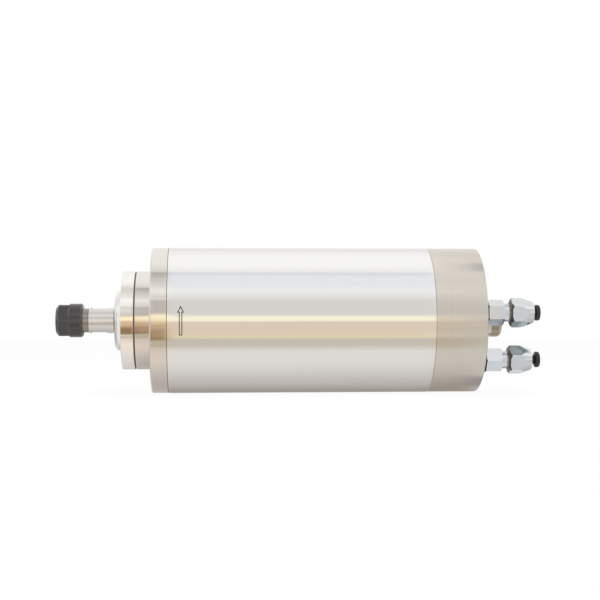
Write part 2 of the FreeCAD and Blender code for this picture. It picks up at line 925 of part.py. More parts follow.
def socket_pins():
    low = hollow_floor - insulator_length - pin_tail
    high = socket_end - pin_recess
    radius = pin_diameter / 2 - fit_gap
    pins = []
    for angle in around(pin_count, 45):
        pin = turned([
            (low, 0), (low, radius), (high - radius / 2, radius), (high, radius / 2), (high, 0),
        ])
        pin.translate(polar(0, pin_circle / 2, angle))
        pins.append(pin)
    return Part.makeCompound(pins)


def hose_set(name, angle, washer, hexagon_turn, stand_off, turn, gap):
    return {
        name + "_seal_washer": seal_washer(washer, angle),
        name + "_fitting_body": fitting_body(washer, hexagon_turn, angle),
        name + "_ferrule": ferrule(washer, angle),
        name + "_fitting_nut": fitting_nut(washer, stand_off, turn, angle),
        name + "_dust_plug": dust_plug(washer, stand_off, gap, angle),
    }


pieces = {
    "outer_tube": outer_tube(),
    "water_jacket": water_jacket(),
    "jacket_seals": jacket_seals(),
    "front_end_bell": front_end_bell(),
    "front_bearing_cap": front_bearing_cap(),
    "flange_screws": flange_screws(),
    "front_bearing_outer_rings": pair(outer_ring, front_rows, front_sizes),
    "front_bearing_inner_rings": pair(inner_ring, front_rows, front_sizes),
    "front_bearing_balls": ball_rows(front_rows, front_sizes, front_ball_count),
    "front_bearing_cages": cage_rows(front_rows, front_sizes, front_ball_count),
    "outer_spacer": outer_spacer(),
    "inner_spacer": inner_spacer(),
    "rear_bearing_housing": rear_bearing_housing(),
    "preload_spring": preload_spring(),
    "rear_bearing_outer_rings": pair(outer_ring, rear_rows, rear_sizes),
    "rear_bearing_inner_rings": pair(inner_ring, rear_rows, rear_sizes),
    "rear_bearing_balls": ball_rows(rear_rows, rear_sizes, rear_ball_count),
    "rear_bearing_cages": cage_rows(rear_rows, rear_sizes, rear_ball_count),
    "rear_lock_nut": rear_lock_nut(),
    "spindle_shaft": spindle_shaft(),
    "dust_cap": dust_cap(),
    "rotor_core": rotor_core(),
    "rotor_end_rings": rotor_end_rings(),
    "stator_core": stator_core(),
    "stator_windings": stator_windings(),
    "collet": collet(),
    "collet_nut": collet_nut(),
    "rear_cap": rear_cap(),
    "rear_cap_screws": rear_cap_screws(),
    "socket_shell": socket_shell(),
    "socket_gasket": socket_gasket(),
    "socket_nut": socket_nut(),
    "socket_insulator": socket_insulator(),
    "socket_pins": socket_pins(),
}
pieces.update(hose_set(
    "upper", upper_angle, upper_washer, upper_hexagon_turn,
    upper_stand_off, upper_nut_turn, upper_plug_gap))
pieces.update(hose_set(
    "lower", lower_angle, lower_washer, lower_hexagon_turn,
    lower_stand_off, lower_nut_turn, lower_plug_gap))

os.makedirs("parts", exist_ok=True)
for name, shape in pieces.items():
    shape.exportStep(f"parts/{name}.step")
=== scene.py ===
import json
import math

import bpy
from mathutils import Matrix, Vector


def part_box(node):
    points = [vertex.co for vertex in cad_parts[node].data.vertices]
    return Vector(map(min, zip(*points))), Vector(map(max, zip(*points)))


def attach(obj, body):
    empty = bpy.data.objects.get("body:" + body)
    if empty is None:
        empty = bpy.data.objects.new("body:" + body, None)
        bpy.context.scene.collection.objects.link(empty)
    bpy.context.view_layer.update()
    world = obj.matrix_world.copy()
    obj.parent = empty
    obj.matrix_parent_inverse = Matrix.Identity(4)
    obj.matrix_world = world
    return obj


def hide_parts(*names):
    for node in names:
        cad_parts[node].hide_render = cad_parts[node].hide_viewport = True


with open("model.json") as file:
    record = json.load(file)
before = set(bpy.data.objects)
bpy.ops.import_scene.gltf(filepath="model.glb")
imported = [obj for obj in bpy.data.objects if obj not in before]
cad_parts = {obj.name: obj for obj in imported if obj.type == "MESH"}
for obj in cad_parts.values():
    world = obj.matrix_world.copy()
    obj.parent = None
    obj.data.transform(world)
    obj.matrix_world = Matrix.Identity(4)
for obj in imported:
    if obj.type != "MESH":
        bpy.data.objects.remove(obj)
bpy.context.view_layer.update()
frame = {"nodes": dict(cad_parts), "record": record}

mm = 0.001
halfTurn = math.pi
quarterTurn = math.pi / 2
print("frame loaded:", len(frame["nodes"]), "nodes")


# Where a CAD node lies: its ends along the spindle, its largest radius and its own axis
def reach(node):
    low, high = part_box(node)
    middle = (low + high) / 2
    radius = max(high.y - low.y, high.z - low.z) / 2
    return low.x, high.x, radius, (middle.y, middle.z)


def deselect():
    if bpy.context.mode != "OBJECT":
        bpy.ops.object.mode_set(mode="OBJECT")
    bpy.ops.object.select_all(action="DESELECT")


def activate(piece):
    deselect()
    piece.select_set(True)
    bpy.context.view_layer.objects.active = piece


# Turns a piece about its own length, moves it beside the spindle axis and fixes that in its mesh
def settle(piece, turn=0.0, centre=(0.0, 0.0)):
    activate(piece)
    piece.rotation_euler = (math.radians(turn), 0, 0)
    bpy.ops.object.transform_apply(location=True, rotation=True, scale=True)
    piece.location = (0, centre[0], centre[1])
    bpy.ops.object.transform_apply(location=True, rotation=True, scale=True)
    return piece


# A turned piece: a ring of edges is extruded from corner to corner of its outline, given as (x, radius)
def turned(name, outline, around=144, closed=True):
    deselect()
    x, radius = outline[0]
    bpy.ops.mesh.primitive_circle_add(vertices=around, radius=radius, fill_type="NOTHING",
                                      location=(x, 0, 0), rotation=(0, quarterTurn, 0))
    piece = bpy.context.object
    piece.name = name
    bpy.ops.object.transform_apply(location=True, rotation=True, scale=True)
    bpy.ops.object.mode_set(mode="EDIT")
    bpy.ops.mesh.select_all(action="SELECT")
    corners = outline[1:] + outline[:1] if closed else outline[1:]
    for nextX, nextRadius in corners:
        bpy.ops.mesh.extrude_region_move(TRANSFORM_OT_translate={"value": (nextX - x, 0, 0)})
        share = nextRadius / radius
        bpy.ops.transform.resize(value=(1, share, share), center_override=(nextX, 0, 0))
        x, radius = nextX, nextRadius
    bpy.ops.mesh.select_all(action="SELECT")
    bpy.ops.mesh.remove_doubles(threshold=1e-7)
    if not closed:
        bpy.ops.mesh.fill_holes(sides=0)
    bpy.ops.mesh.normals_make_consistent(inside=False)
    bpy.ops.object.mode_set(mode="OBJECT")
    return piece


# A hexagon bar along the spindle, with a flat that faces flatAngle: 0 is +Y and 90 is up
def hexBar(name, acrossFlats, low, high, flatAngle=90.0):
    deselect()
    bpy.ops.mesh.primitive_cylinder_add(vertices=6, radius=acrossFlats / math.sqrt(3), depth=high - low,
                                        location=((low + high) / 2, 0, 0), rotation=(0, quarterTurn, 0))
    piece = bpy.context.object
    piece.name = name
    bpy.ops.object.transform_apply(location=True, rotation=True, scale=True)
    return settle(piece, turn=flatAngle - 90.0)


# A plain round bar, used to cut holes
def bar(radius, low, high, around=48):
    return turned("bar", [(low, radius), (high, radius)], around, closed=False)


def combine(piece, tool, operation="DIFFERENCE"):
    activate(piece)
    step = piece.modifiers.new("combine", "BOOLEAN")
    step.operation = operation
    step.solver = "EXACT"
    step.object = tool
    bpy.ops.object.modifier_apply(modifier=step.name)
    bpy.data.objects.remove(tool, do_unlink=True)
    return piece


def joined(pieces, name):
    activate(pieces[0])
    for piece in pieces[1:]:
        piece.select_set(True)
    bpy.ops.object.join()
    pieces[0].name = name
    return pieces[0]


def copyOf(piece):
    activate(piece)
    bpy.ops.object.duplicate(linked=False)
    return bpy.context.object


# Rounds the sharp edges a little and shades the rest smooth, with the large faces left straight
def soften(piece, width, segments=2, angle=32.0):
    activate(piece)
    if width:
        step = piece.modifiers.new("edges", "BEVEL")
        step.width = width
        step.segments = segments
        step.limit_method = "ANGLE"
        step.angle_limit = math.radians(angle)
        bpy.ops.object.modifier_apply(modifier=step.name)
    bpy.ops.object.shade_smooth_by_angle(angle=math.radians(angle))
    step = piece.modifiers.new("straight", "WEIGHTED_NORMAL")
    step.keep_sharp = True
    bpy.ops.object.modifier_apply(modifier=step.name)
    return piece


# A helical ridge for a screw thread, half sunk in the barrel that it runs round
def threadRidge(low, high, radius, pitch, depth, steps=40):
    deselect()
    bpy.ops.mesh.primitive_circle_add(vertices=3, radius=depth, fill_type="NOTHING",
                                      location=(low + pitch / 2, 0, radius - depth * 0.45),
                                      rotation=(quarterTurn, 0, 0))
    piece = bpy.context.object
    bpy.ops.object.mode_set(mode="EDIT")
    bpy.ops.mesh.select_all(action="SELECT")
    bpy.ops.transform.resize(value=(pitch * 0.45 / depth, 1, 1), center_override=(low + pitch / 2, 0, radius))
    bpy.ops.object.mode_set(mode="OBJECT")
    bpy.ops.object.transform_apply(location=True, rotation=True, scale=True)
    step = piece.modifiers.new("thread", "SCREW")
    step.axis = "X"
    step.angle = 2 * halfTurn
    step.screw_offset = pitch
    step.iterations = max(1, int((high - low - pitch) / pitch))
    step.steps = steps
    step.render_steps = steps
    bpy.ops.object.modifier_apply(modifier=step.name)
    bpy.ops.object.mode_set(mode="EDIT")
    bpy.ops.mesh.select_all(action="SELECT")
    bpy.ops.mesh.fill_holes(sides=3)
    bpy.ops.mesh.normals_make_consistent(inside=False)
    bpy.ops.object.mode_set(mode="OBJECT")
    return piece


# Material effects that several finishes share
def newGroup(name, inputs, outputs):
    group = bpy.data.node_groups.new(name, "ShaderNodeTree")
    for label, kind, value in inputs:
        socket = group.interface.new_socket(name=label, in_out="INPUT", socket_type=kind)
        socket.default_value = value
    for label, kind in outputs:
        group.interface.new_socket(name=label, in_out="OUTPUT", socket_type=kind)
    entry = group.nodes.new("NodeGroupInput")
    result = group.nodes.new("NodeGroupOutput")
    return group, entry, result


# Fine tool marks that run round the spindle, as a lathe or a grinder leaves them
def latheLines():
    group, entry, result = newGroup(
        "latheLines",
        [("Pitch", "NodeSocketFloat", 400.0), ("Waver", "NodeSocketFloat", 6.0)],
        [("Height", "NodeSocketFloat"), ("Tone", "NodeSocketFloat")])
    nodes, links = group.nodes, group.links
    place = nodes.new("ShaderNodeTexCoord")
    stretch = nodes.new("ShaderNodeCombineXYZ")
    links.new(entry.outputs["Pitch"], stretch.inputs["X"])
    links.new(entry.outputs["Waver"], stretch.inputs["Y"])
    links.new(entry.outputs["Waver"], stretch.inputs["Z"])
    scaled = nodes.new("ShaderNodeVectorMath")
    scaled.operation = "MULTIPLY"
    links.new(place.outputs["Object"], scaled.inputs[0])
    links.new(stretch.outputs["Vector"], scaled.inputs[1])
    fine = nodes.new("ShaderNodeTexNoise")
    fine.inputs["Scale"].default_value = 8.0
    fine.inputs["Detail"].default_value = 3.0
    broad = nodes.new("ShaderNodeTexNoise")
    broad.inputs["Scale"].default_value = 1.0
    broad.inputs["Detail"].default_value = 2.0
    for noise in (fine, broad):
        links.new(scaled.outputs["Vector"], noise.inputs["Vector"])
    links.new(fine.outputs["Fac"], result.inputs["Height"])
    links.new(broad.outputs["Fac"], result.inputs["Tone"])
    return group


# Soft cloudy marks from handling and cleaning
def handling():
    group, entry, result = newGroup(
        "handling",
        [("Size", "NodeSocketFloat", 40.0), ("Low", "NodeSocketFloat", 0.0), ("High", "NodeSocketFloat", 1.0)],
        [("Value", "NodeSocketFloat")])
    nodes, links = group.nodes, group.links
    place = nodes.new("ShaderNodeTexCoord")
    cloud = nodes.new("ShaderNodeTexNoise")
    cloud.inputs["Detail"].default_value = 5.0
    cloud.inputs["Roughness"].default_value = 0.6
    links.new(place.outputs["Object"], cloud.inputs["Vector"])
    links.new(entry.outputs["Size"], cloud.inputs["Scale"])
    spread = nodes.new("ShaderNodeMapRange")
    spread.inputs["From Min"].default_value = 0.3
    spread.inputs["From Max"].default_value = 0.7
    links.new(cloud.outputs["Fac"], spread.inputs["Value"])
    links.new(entry.outputs["Low"], spread.inputs["To Min"])
    links.new(entry.outputs["High"], spread.inputs["To Max"])
    links.new(spread.outputs["Result"], result.inputs["Value"])
    return group


# Bright edges, partly where the finish has worn through and partly a painted highlight
def edgeWearGlint():
    group, entry, result = newGroup(
        "edgeWearGlint", [("Sharp", "NodeSocketFloat", 0.98), ("Soft", "NodeSocketFloat", 0.9)],
        [("Mask", "NodeSocketFloat")])
    nodes, links = group.nodes, group.links
    rounded = nodes.new("ShaderNodeBevel")
    rounded.samples = 6
    rounded.inputs["Radius"].default_value = 0.3 * mm
    flat = nodes.new("ShaderNodeNewGeometry")
    agree = nodes.new("ShaderNodeVectorMath")
    agree.operation = "DOT_PRODUCT"
    links.new(rounded.outputs["Normal"], agree.inputs[0])
    links.new(flat.outputs["Normal"], agree.inputs[1])
    spread = nodes.new("ShaderNodeMapRange")
    links.new(agree.outputs["Value"], spread.inputs["Value"])
    links.new(entry.outputs["Sharp"], spread.inputs["From Min"])
    links.new(entry.outputs["Soft"], spread.inputs["From Max"])
    links.new(spread.outputs["Result"], result.inputs["Mask"])
    return group


latheGroup = latheLines()
handlingGroup = handling()
wearGlintGroup = edgeWearGlint()


def placeGroup(material, group, **values):
    node = material.node_tree.nodes.new("ShaderNodeGroup")
    node.node_tree = group
    for label, value in values.items():
        node.inputs[label].default_value = value
    return node


# Every finish: a pair of colours that the tool marks mix, a range of roughness and a bump
def finish(name, look):
    material = bpy.data.materials.new(name)
    material.use_nodes = True
    nodes, links = material.node_tree.nodes, material.node_tree.links
    shader = nodes["Principled BSDF"]
    shader.inputs["Metallic"].default_value = look.get("metal", 1.0)
    shader.inputs["Specular IOR Level"].default_value = look.get("specular", 0.5)
    shader.inputs["Anisotropic"].default_value = look.get("anisotropic", 0.0)
    lines = placeGroup(material, latheGroup, Pitch=look.get("pitch", 400.0), Waver=look.get("waver", 6.0))
    marks = placeGroup(material, handlingGroup, Size=look.get("cloud", 40.0),
                       Low=look["rough"][0], High=look["rough"][1])
    colour = nodes.new("ShaderNodeMix")
    colour.data_type = "RGBA"
    colour.inputs["A"].default_value = (*look["colour"], 1)
    colour.inputs["B"].default_value = (*look.get("streak", look["colour"]), 1)
    links.new(lines.outputs["Tone"], colour.inputs["Factor"])
    # Bright edges from the edge mask: partly worn metal, partly a painted highlight
    if "worn_glint" in look:
        wearGlint = placeGroup(material, wearGlintGroup)
        bareGlint = nodes.new("ShaderNodeMix")
        bareGlint.data_type = "RGBA"
        links.new(wearGlint.outputs["Mask"], bareGlint.inputs["Factor"])
        links.new(colour.outputs["Result"], bareGlint.inputs["A"])
        bareGlint.inputs["B"].default_value = (*look["worn_glint"], 1)
        colour = bareGlint
    links.new(colour.outputs["Result"], shader.inputs["Base Color"])
    links.new(marks.outputs["Value"], shader.inputs["Roughness"])
    bump = nodes.new("ShaderNodeBump")
    bump.inputs["Strength"].default_value = look.get("bump", 0.1)
    bump.inputs["Distance"].default_value = look.get("depth", 0.02) * mm
    links.new(lines.outputs["Height"], bump.inputs["Height"])
    links.new(bump.outputs["Normal"], shader.inputs["Normal"])
    return material


finishes = {
    "polished_tube": {"colour": (0.93, 0.93, 0.93), "streak": (0.915, 0.915, 0.915), "rough": (0.04, 0.06),
                      "pitch": 150.0, "waver": 2.0, "bump": 0.05, "depth": 0.004},
    "nickel_front": {"colour": (0.83, 0.80, 0.77), "streak": (0.80, 0.77, 0.735), "rough": (0.03, 0.05),
                     "pitch": 500.0, "waver": 3.0, "bump": 0.10, "depth": 0.006},
    "brushed_cap": {"colour": (0.80, 0.75, 0.69), "streak": (0.76, 0.71, 0.65), "rough": (0.12, 0.16),
                    "pitch": 700.0, "waver": 2.0, "bump": 0.25, "depth": 0.01},
    "polished_dome": {"colour": (0.89, 0.89, 0.88), "streak": (0.85, 0.85, 0.84), "rough": (0.10, 0.16),
                      "pitch": 300.0, "bump": 0.05},
    "ground_steel": {"colour": (0.88, 0.87, 0.87), "streak": (0.80, 0.79, 0.79), "rough": (0.17, 0.24),
                     "pitch": 500.0, "waver": 3.0, "bump": 0.15, "depth": 0.01},
    "bearing_steel": {"colour": (0.75, 0.76, 0.77), "streak": (0.7, 0.71, 0.72), "rough": (0.08, 0.14)},
    "cage_polymer": {"colour": (0.55, 0.40, 0.24), "streak": (0.48, 0.34, 0.2), "rough": (0.45, 0.6), "metal": 0.0},
    # the light edge colour of black_oxide is partly worn metal and partly a painted highlight
    "black_oxide": {"colour": (0.022, 0.023, 0.026), "streak": (0.016, 0.013, 0.012), "rough": (0.14, 0.22),
                    "metal": 0.0, "specular": 1.0, "pitch": 300.0, "waver": 60.0, "bump": 0.2, "depth": 0.01,
                    "worn_glint": (0.40, 0.39, 0.38)},
    "jacket_alloy": {"colour": (0.72, 0.72, 0.73), "streak": (0.65, 0.65, 0.66), "rough": (0.25, 0.38)},
    "lamination": {"colour": (0.30, 0.31, 0.33), "streak": (0.20, 0.21, 0.23), "rough": (0.35, 0.5),
                   "pitch": 2000.0, "waver": 0.5, "bump": 0.6, "depth": 0.05},
    "copper": {"colour": (0.72, 0.33, 0.16), "streak": (0.55, 0.22, 0.10), "rough": (0.22, 0.35),
               "pitch": 40.0, "waver": 900.0, "bump": 0.6, "depth": 0.1},
    "rotor_alloy": {"colour": (0.70, 0.71, 0.72), "streak": (0.62, 0.63, 0.64), "rough": (0.3, 0.45)},
    "bright_fitting": {"colour": (0.86, 0.89, 0.92), "streak": (0.80, 0.83, 0.87), "rough": (0.10, 0.20),
                       "cloud": 300.0, "pitch": 300.0, "waver": 200.0, "bump": 0.15, "depth": 0.01},
    "seal_rubber": {"colour": (0.025, 0.025, 0.024), "streak": (0.018, 0.018, 0.018), "rough": (0.7, 0.85),
                    "metal": 0.0, "specular": 0.15, "pitch": 300.0, "waver": 300.0, "bump": 0.2},
    "black_plastic": {"colour": (0.022, 0.024, 0.023), "streak": (0.016, 0.018, 0.017), "rough": (0.25, 0.38),
                      "metal": 0.0, "specular": 0.4, "pitch": 200.0, "waver": 200.0, "bump": 0.1},
    "socket_metal": {"colour": (0.88, 0.84, 0.78), "streak": (0.80, 0.76, 0.69), "rough": (0.15, 0.25),
                     "pitch": 400.0, "waver": 20.0, "bump": 0.2},
    "socket_black": {"colour": (0.020, 0.020, 0.021), "streak": (0.014, 0.014, 0.015), "rough": (0.4, 0.5),
                     "metal": 0.0, "pitch": 200.0, "waver": 200.0, "bump": 0.1},
    "contact_gold": {"colour": (0.86, 0.64, 0.30), "streak": (0.78, 0.56, 0.24), "rough": (0.14, 0.22)},
    "screw_steel": {"colour": (0.62, 0.62, 0.62), "streak": (0.52, 0.52, 0.52), "rough": (0.22, 0.32),
                    "pitch": 300.0, "waver": 300.0, "bump": 0.2},
    "spring_steel": {"colour": (0.45, 0.46, 0.50), "streak": (0.38, 0.39, 0.43), "rough": (0.2, 0.3)},
    "nickel_ring": {"colour": (0.97, 0.95, 0.93), "streak": (0.95, 0.93, 0.91), "rough": (0.02, 0.035),
                    "pitch": 500.0, "waver": 3.0, "bump": 0.03, "depth": 0.005},
    # seam is painted shade, put on narrow gaps, grooves and steps where shade falls
    "seam": {"colour": (0.22, 0.185, 0.16), "streak": (0.17, 0.145, 0.125), "rough": (0.4, 0.55), "metal": 0.6},
    "engraving": {"colour": (0.03, 0.03, 0.03), "streak": (0.02, 0.02, 0.02), "rough": (0.5, 0.6), "metal": 0.2},
    "thread_steel": {"colour": (0.46, 0.42, 0.37), "streak": (0.34, 0.31, 0.27), "rough": (0.14, 0.20),
                     "pitch": 900.0, "waver": 20.0, "bump": 0.2},
    "fitting_shade": {"colour": (0.20, 0.20, 0.20), "streak": (0.12, 0.12, 0.12), "rough": (0.26, 0.36),
                      "pitch": 600.0, "waver": 100.0, "bump": 0.2},
    # painted shade for the hex facets where the two hose fittings face each other
    "fitting_facing_shade": {"colour": (0.54, 0.58, 0.60), "streak": (0.48, 0.52, 0.54), "rough": (0.12, 0.22),
                      "cloud": 300.0, "pitch": 300.0, "waver": 200.0, "bump": 0.15, "depth": 0.01},
    "socket_thread": {"colour": (0.74, 0.66, 0.54), "streak": (0.66, 0.59, 0.48), "rough": (0.30, 0.38),
                      "pitch": 600.0, "waver": 30.0, "bump": 0.1},
}
materials = {name: finish(name, look) for name, look in finishes.items()}
slotOf = {part["node"]: part["material_slot"] for part in frame["record"]["subparts"]}
for node, piece in frame["nodes"].items():
    for place in piece.material_slots:
        place.material = materials[slotOf[node]]
print("finishes made:", len(materials))


# Gives a finished piece its material and its body, and hides the CAD node that it stands for
def place(piece, body, node, finishName=None):
    piece.data.materials.clear()
    piece.data.materials.append(materials[finishName or slotOf[node]])
    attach(piece, body)
    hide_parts(node)
    return piece


# Gives a second finish to the faces of a placed piece that a test picks by their middle and their normal: a real mark
# such as engraving or thread, or painted shade in gaps and between parts
def stainAndShade(piece, finishName, test):
    piece.data.materials.append(materials[finishName])
    last = len(piece.data.materials) - 1
    for face in piece.data.polygons:
        if test(face.center, face.normal):
            face.material_index = last
    return piece


# The points of a quarter round between two edges of an outline
def quarterRound(centreX, centreRadius, size, startAngle, endAngle, steps=4):
    angles = [startAngle + (endAngle - startAngle) * i / steps for i in range(steps + 1)]
    return [(centreX + size * math.cos(math.radians(a)), centreRadius + size * math.sin(math.radians(a)))
            for a in angles]


# The body: tube, flange with its neck, bearing cap and rear cap
bodySettings = {
    "tubeWall": 2.0 * mm,
    "seamBreak": 0.16 * mm,      # the small chamfers that show as thin seams
    "flangeEdge": 0.8 * mm,
    "capEdge": 0.3 * mm,
    "neckDiameter": 54.0 * mm,
    "capThread": 49.0 * mm,
    "bearingOutside": 47.0 * mm,
    "hub": 55.0 * mm,
    "hubHole": 35.0 * mm,
    "hubFloor": 4.0 * mm,
    "pilot": 65.9 * mm,
    "pilotLength": 4.0 * mm,
    "capGroove": 0.7 * mm,
    "grooveDepth": 1.2 * mm,
    "screwCircle": 71.0 * mm,
    "screwAngle": 20.0,
    "screwHead": 6.1 * mm,
    "screwSeat": 3.5 * mm,
    "spannerCircle": 44.4 * mm,
    "spannerHole": 3.5 * mm,
    "around": 192,
}


def onCircle(diameter, angle):
    turn = math.radians(angle)
    return diameter / 2 * math.cos(turn), diameter / 2 * math.sin(turn)


def screwPlaces():
    first = bodySettings["screwAngle"]
    return [onCircle(bodySettings["screwCircle"], first + 90.0 * i) for i in range(4)]


# A plain outlined arrow, engraved in the tube, that shows which way the spindle turns
arrowSettings = {
    "x": -63.8 * mm,
    "tip": 7.85 * mm,
    "barb": 4.15 * mm,
    "tail": -7.75 * mm,
    "barbHalf": 1.85 * mm,
    "stemHalf": 0.9 * mm,
    "line": 0.46 * mm,
    "deep": 0.06 * mm,
}


# An upright arrow as a flat outline, drawn in by a margin, that is extruded towards the spindle
def arrowBlock(margin):
    size = arrowSettings
    slope = (size["tip"] - size["barb"]) / size["barbHalf"]
    run = margin * math.hypot(1, slope)
    barb = size["barb"] + margin
    tip = size["tip"] - run
    barbHalf = (tip - barb) / slope
    stemHalf = size["stemHalf"] - margin
    tail = size["tail"] + margin
    right = [(0, tip), (barbHalf, barb), (stemHalf, barb), (stemHalf, tail)]
    left = [(-across, up) for across, up in reversed(right[1:])]
    mesh = bpy.data.meshes.new("arrow")
    corners = [(size["x"] + across, -42 * mm, up) for across, up in right + left]
    mesh.from_pydata(corners, [], [list(range(len(corners)))])
    block = bpy.data.objects.new("arrow", mesh)
    bpy.context.scene.collection.objects.link(block)
    activate(block)
    bpy.ops.object.mode_set(mode="EDIT")
    bpy.ops.mesh.select_all(action="SELECT")
    bpy.ops.mesh.extrude_region_move(TRANSFORM_OT_translate={"value": (0, 4 * mm, 0)})
    bpy.ops.mesh.select_all(action="SELECT")
    bpy.ops.mesh.normals_make_consistent(inside=False)
    bpy.ops.object.mode_set(mode="OBJECT")
    return block


def engraveArrow(tube):
    size = arrowSettings
    radius = reach("outer_tube")[2]
    outline = combine(arrowBlock(0.0), arrowBlock(size["line"]))
    core = bar(radius - size["deep"], size["x"] - 5 * mm, size["x"] + 5 * mm, bodySettings["around"])
    combine(tube, combine(outline, core))


def makeTube():
    size = bodySettings
    low, high, radius, _ = reach("outer_tube")
    bore = radius - size["tubeWall"]
    chamfer = size["seamBreak"]
    tube = turned("tubeShell", [
        (low, bore), (low, radius - chamfer), (low + chamfer, radius), (high - chamfer, radius),
        (high, radius - chamfer), (high, bore)], size["around"])
    engraveArrow(tube)
    place(soften(tube, 0), "housing", "outer_tube")
    engraved = radius - arrowSettings["deep"] / 2
    stainAndShade(tube, "engraving", lambda middle, normal: bore < math.hypot(middle.y, middle.z) < engraved
          and abs(normal.x) < 0.9 and low + mm < middle.x < high - mm)
    # The end chamfers get painted shade in the seams where the tube meets the bell and the rear cap
    return stainAndShade(tube, "seam", lambda middle, normal: math.hypot(middle.y, middle.z) > radius - chamfer
                 and abs(normal.x) > 0.5)


def makeBell():
    size = bodySettings
    low, hubEnd, radius, _ = reach("front_end_bell")
    back = reach("outer_tube")[0]
    flange = reach("flange_screws")[0] - 0.5 * mm
    bearing = reach("front_bearing_outer_rings")
    neck = size["neckDiameter"] / 2
    thread = size["capThread"] / 2
    chamfer = size["seamBreak"]
    edge = size["flangeEdge"]
    bell = turned("frontBell", [
        (low, thread), (low, neck - chamfer), (low + chamfer, neck), (flange, neck),
        *quarterRound(flange + edge, radius - edge, edge, 180, 90),
        (back - chamfer, radius), (back, radius - chamfer), (back, size["pilot"] / 2),
        (back + size["pilotLength"], size["pilot"] / 2), (back + size["pilotLength"], size["hub"] / 2),
        (hubEnd, size["hub"] / 2), (hubEnd, size["hubHole"] / 2),
        (hubEnd - size["hubFloor"], size["hubHole"] / 2), (hubEnd - size["hubFloor"], size["bearingOutside"] / 2),
        (bearing[0], size["bearingOutside"] / 2), (bearing[0], thread)], size["around"])
    for centre in screwPlaces():
        head = bar(size["screwHead"] / 2, flange - mm, flange + size["screwSeat"])
        combine(bell, settle(head, centre=centre))
        combine(bell, settle(bar(1.55 * mm, flange + mm, back + mm), centre=centre))
    place(soften(bell, 0.08 * mm), "housing", "front_end_bell")
    # The bell's back faces get painted shade in the seam to the tube
    return stainAndShade(bell, "seam", lambda middle, normal: middle.x > back - 0.3 * mm and normal.x > 0.3)


def makeBearingCap():
    size = bodySettings
    low, spigotEnd, radius, _ = reach("front_bearing_cap")
    neckFace = reach("front_end_bell")[0]
    ringBack = neckFace - size["capGroove"]
    floor = radius - size["grooveDepth"]
    edge = size["capEdge"]
    recess = 17.4 * mm
    bore = 14.9 * mm
    pocket = 21.1 * mm
    chamfer = size["seamBreak"]
    cap = turned("bearingCap", [
        (low + 2.4 * mm, bore), (low + 2.4 * mm, recess), (low, recess),
        *quarterRound(low + edge, radius - edge, edge, 180, 90),
        (ringBack - chamfer, radius), (ringBack, radius - chamfer), (ringBack, floor), (neckFace, floor),
        (neckFace, size["capThread"] / 2 - 0.05 * mm), (spigotEnd, size["capThread"] / 2 - 0.05 * mm),
        (spigotEnd, pocket), (neckFace, pocket), (neckFace, bore)], size["around"])
    for i in range(4):
        hole = bar(size["spannerHole"] / 2, low - mm, low + size["spannerHole"])
        centre = onCircle(size["spannerCircle"], size["screwAngle"] + 90.0 * i)
        combine(cap, settle(hole, centre=centre))
    place(soften(cap, 0.08 * mm), "housing", "front_bearing_cap", "nickel_ring")
    # The groove between the bearing cap and the bell gets painted shade
    return stainAndShade(cap, "seam", lambda middle, normal: ringBack - 0.05 * mm < middle.x < neckFace + 0.05 * mm
                 and math.hypot(middle.y, middle.z) < radius - 0.2 * mm)


rearCapSettings = {
    "edge": 0.8 * mm,
    "floor": 4.5 * mm,
    "wiring": 44.0 * mm,
    "socketHole": 17.1 * mm,
    "fittingHole": 9.1 * mm,
    "fittingDepth": 10.0 * mm,
}


def makeRearCap():
    size = rearCapSettings
    low, high, radius, _ = reach("rear_cap")
    seam = reach("outer_tube")[1]
    edge = size["edge"]
    chamfer = bodySettings["seamBreak"]
    cap = turned("rearCap", [
        (low, size["wiring"] / 2), (low, bodySettings["pilot"] / 2), (seam, bodySettings["pilot"] / 2),
        (seam, radius - chamfer), (seam + chamfer, radius),
        *quarterRound(high - edge, radius - edge, edge, 90, 0),
        (high, size["socketHole"] / 2), (high - size["floor"], size["socketHole"] / 2),
        (high - size["floor"], size["wiring"] / 2)], bodySettings["around"])
    for centre in screwPlaces():
        head = bar(bodySettings["screwHead"] / 2, high - bodySettings["screwSeat"], high + mm)
        combine(cap, settle(head, centre=centre))
    for side in ("upper", "lower"):
        hole = bar(size["fittingHole"] / 2, high - size["fittingDepth"], high + mm)
        combine(cap, settle(hole, centre=reach(side + "_seal_washer")[3]))
    return place(soften(cap, 0.08 * mm), "housing", "rear_cap")


# Socket-head screws: one is modelled and the others are copies
screwSettings = {"head": 5.5 * mm, "headHeight": 3.0 * mm, "body": 3.0 * mm, "socket": 2.5 * mm, "deep": 1.5 * mm}


def makeScrews(node, name, outwards):
    size = screwSettings
    low, high = reach(node)[:2]
    top = low if outwards < 0 else high
    point = high if outwards < 0 else low
    under = top - outwards * size["headHeight"]
    screw = turned("screw", [
        (top, 1.9 * mm), (top, size["head"] / 2 - 0.3 * mm), (top - outwards * 0.3 * mm, size["head"] / 2),
        (under, size["head"] / 2), (under, size["body"] / 2), (point, size["body"] / 2)], 48, closed=False)
    socketEnd = top - outwards * size["deep"]
    socket = hexBar("socket", size["socket"], min(top + outwards * mm, socketEnd), max(top + outwards * mm, socketEnd))
    combine(screw, socket)
    screws = []
    for centre in screwPlaces():
        screws.append(settle(copyOf(screw), centre=centre))
    bpy.data.objects.remove(screw, do_unlink=True)
    return place(soften(joined(screws, name), 0.06 * mm), "housing", node)


# The nose: dust cap, shaft, collet and its nut
noseSettings = {
    "domeDiameter": 34.0 * mm,
    "domeCorner": 2.6 * mm,
    "domeNose": 19.0 * mm,
    "domeFall": 0.35 * mm,
    "domeTaper": 0.45 * mm,
    "domeHeight": 4.5 * mm,
    "domeHole": 14.8 * mm,
    "domeShell": 3.0 * mm,
    "hub": 29.0 * mm,
    "seat": 20.1 * mm,
    "rimDepth": 2.0 * mm,
}


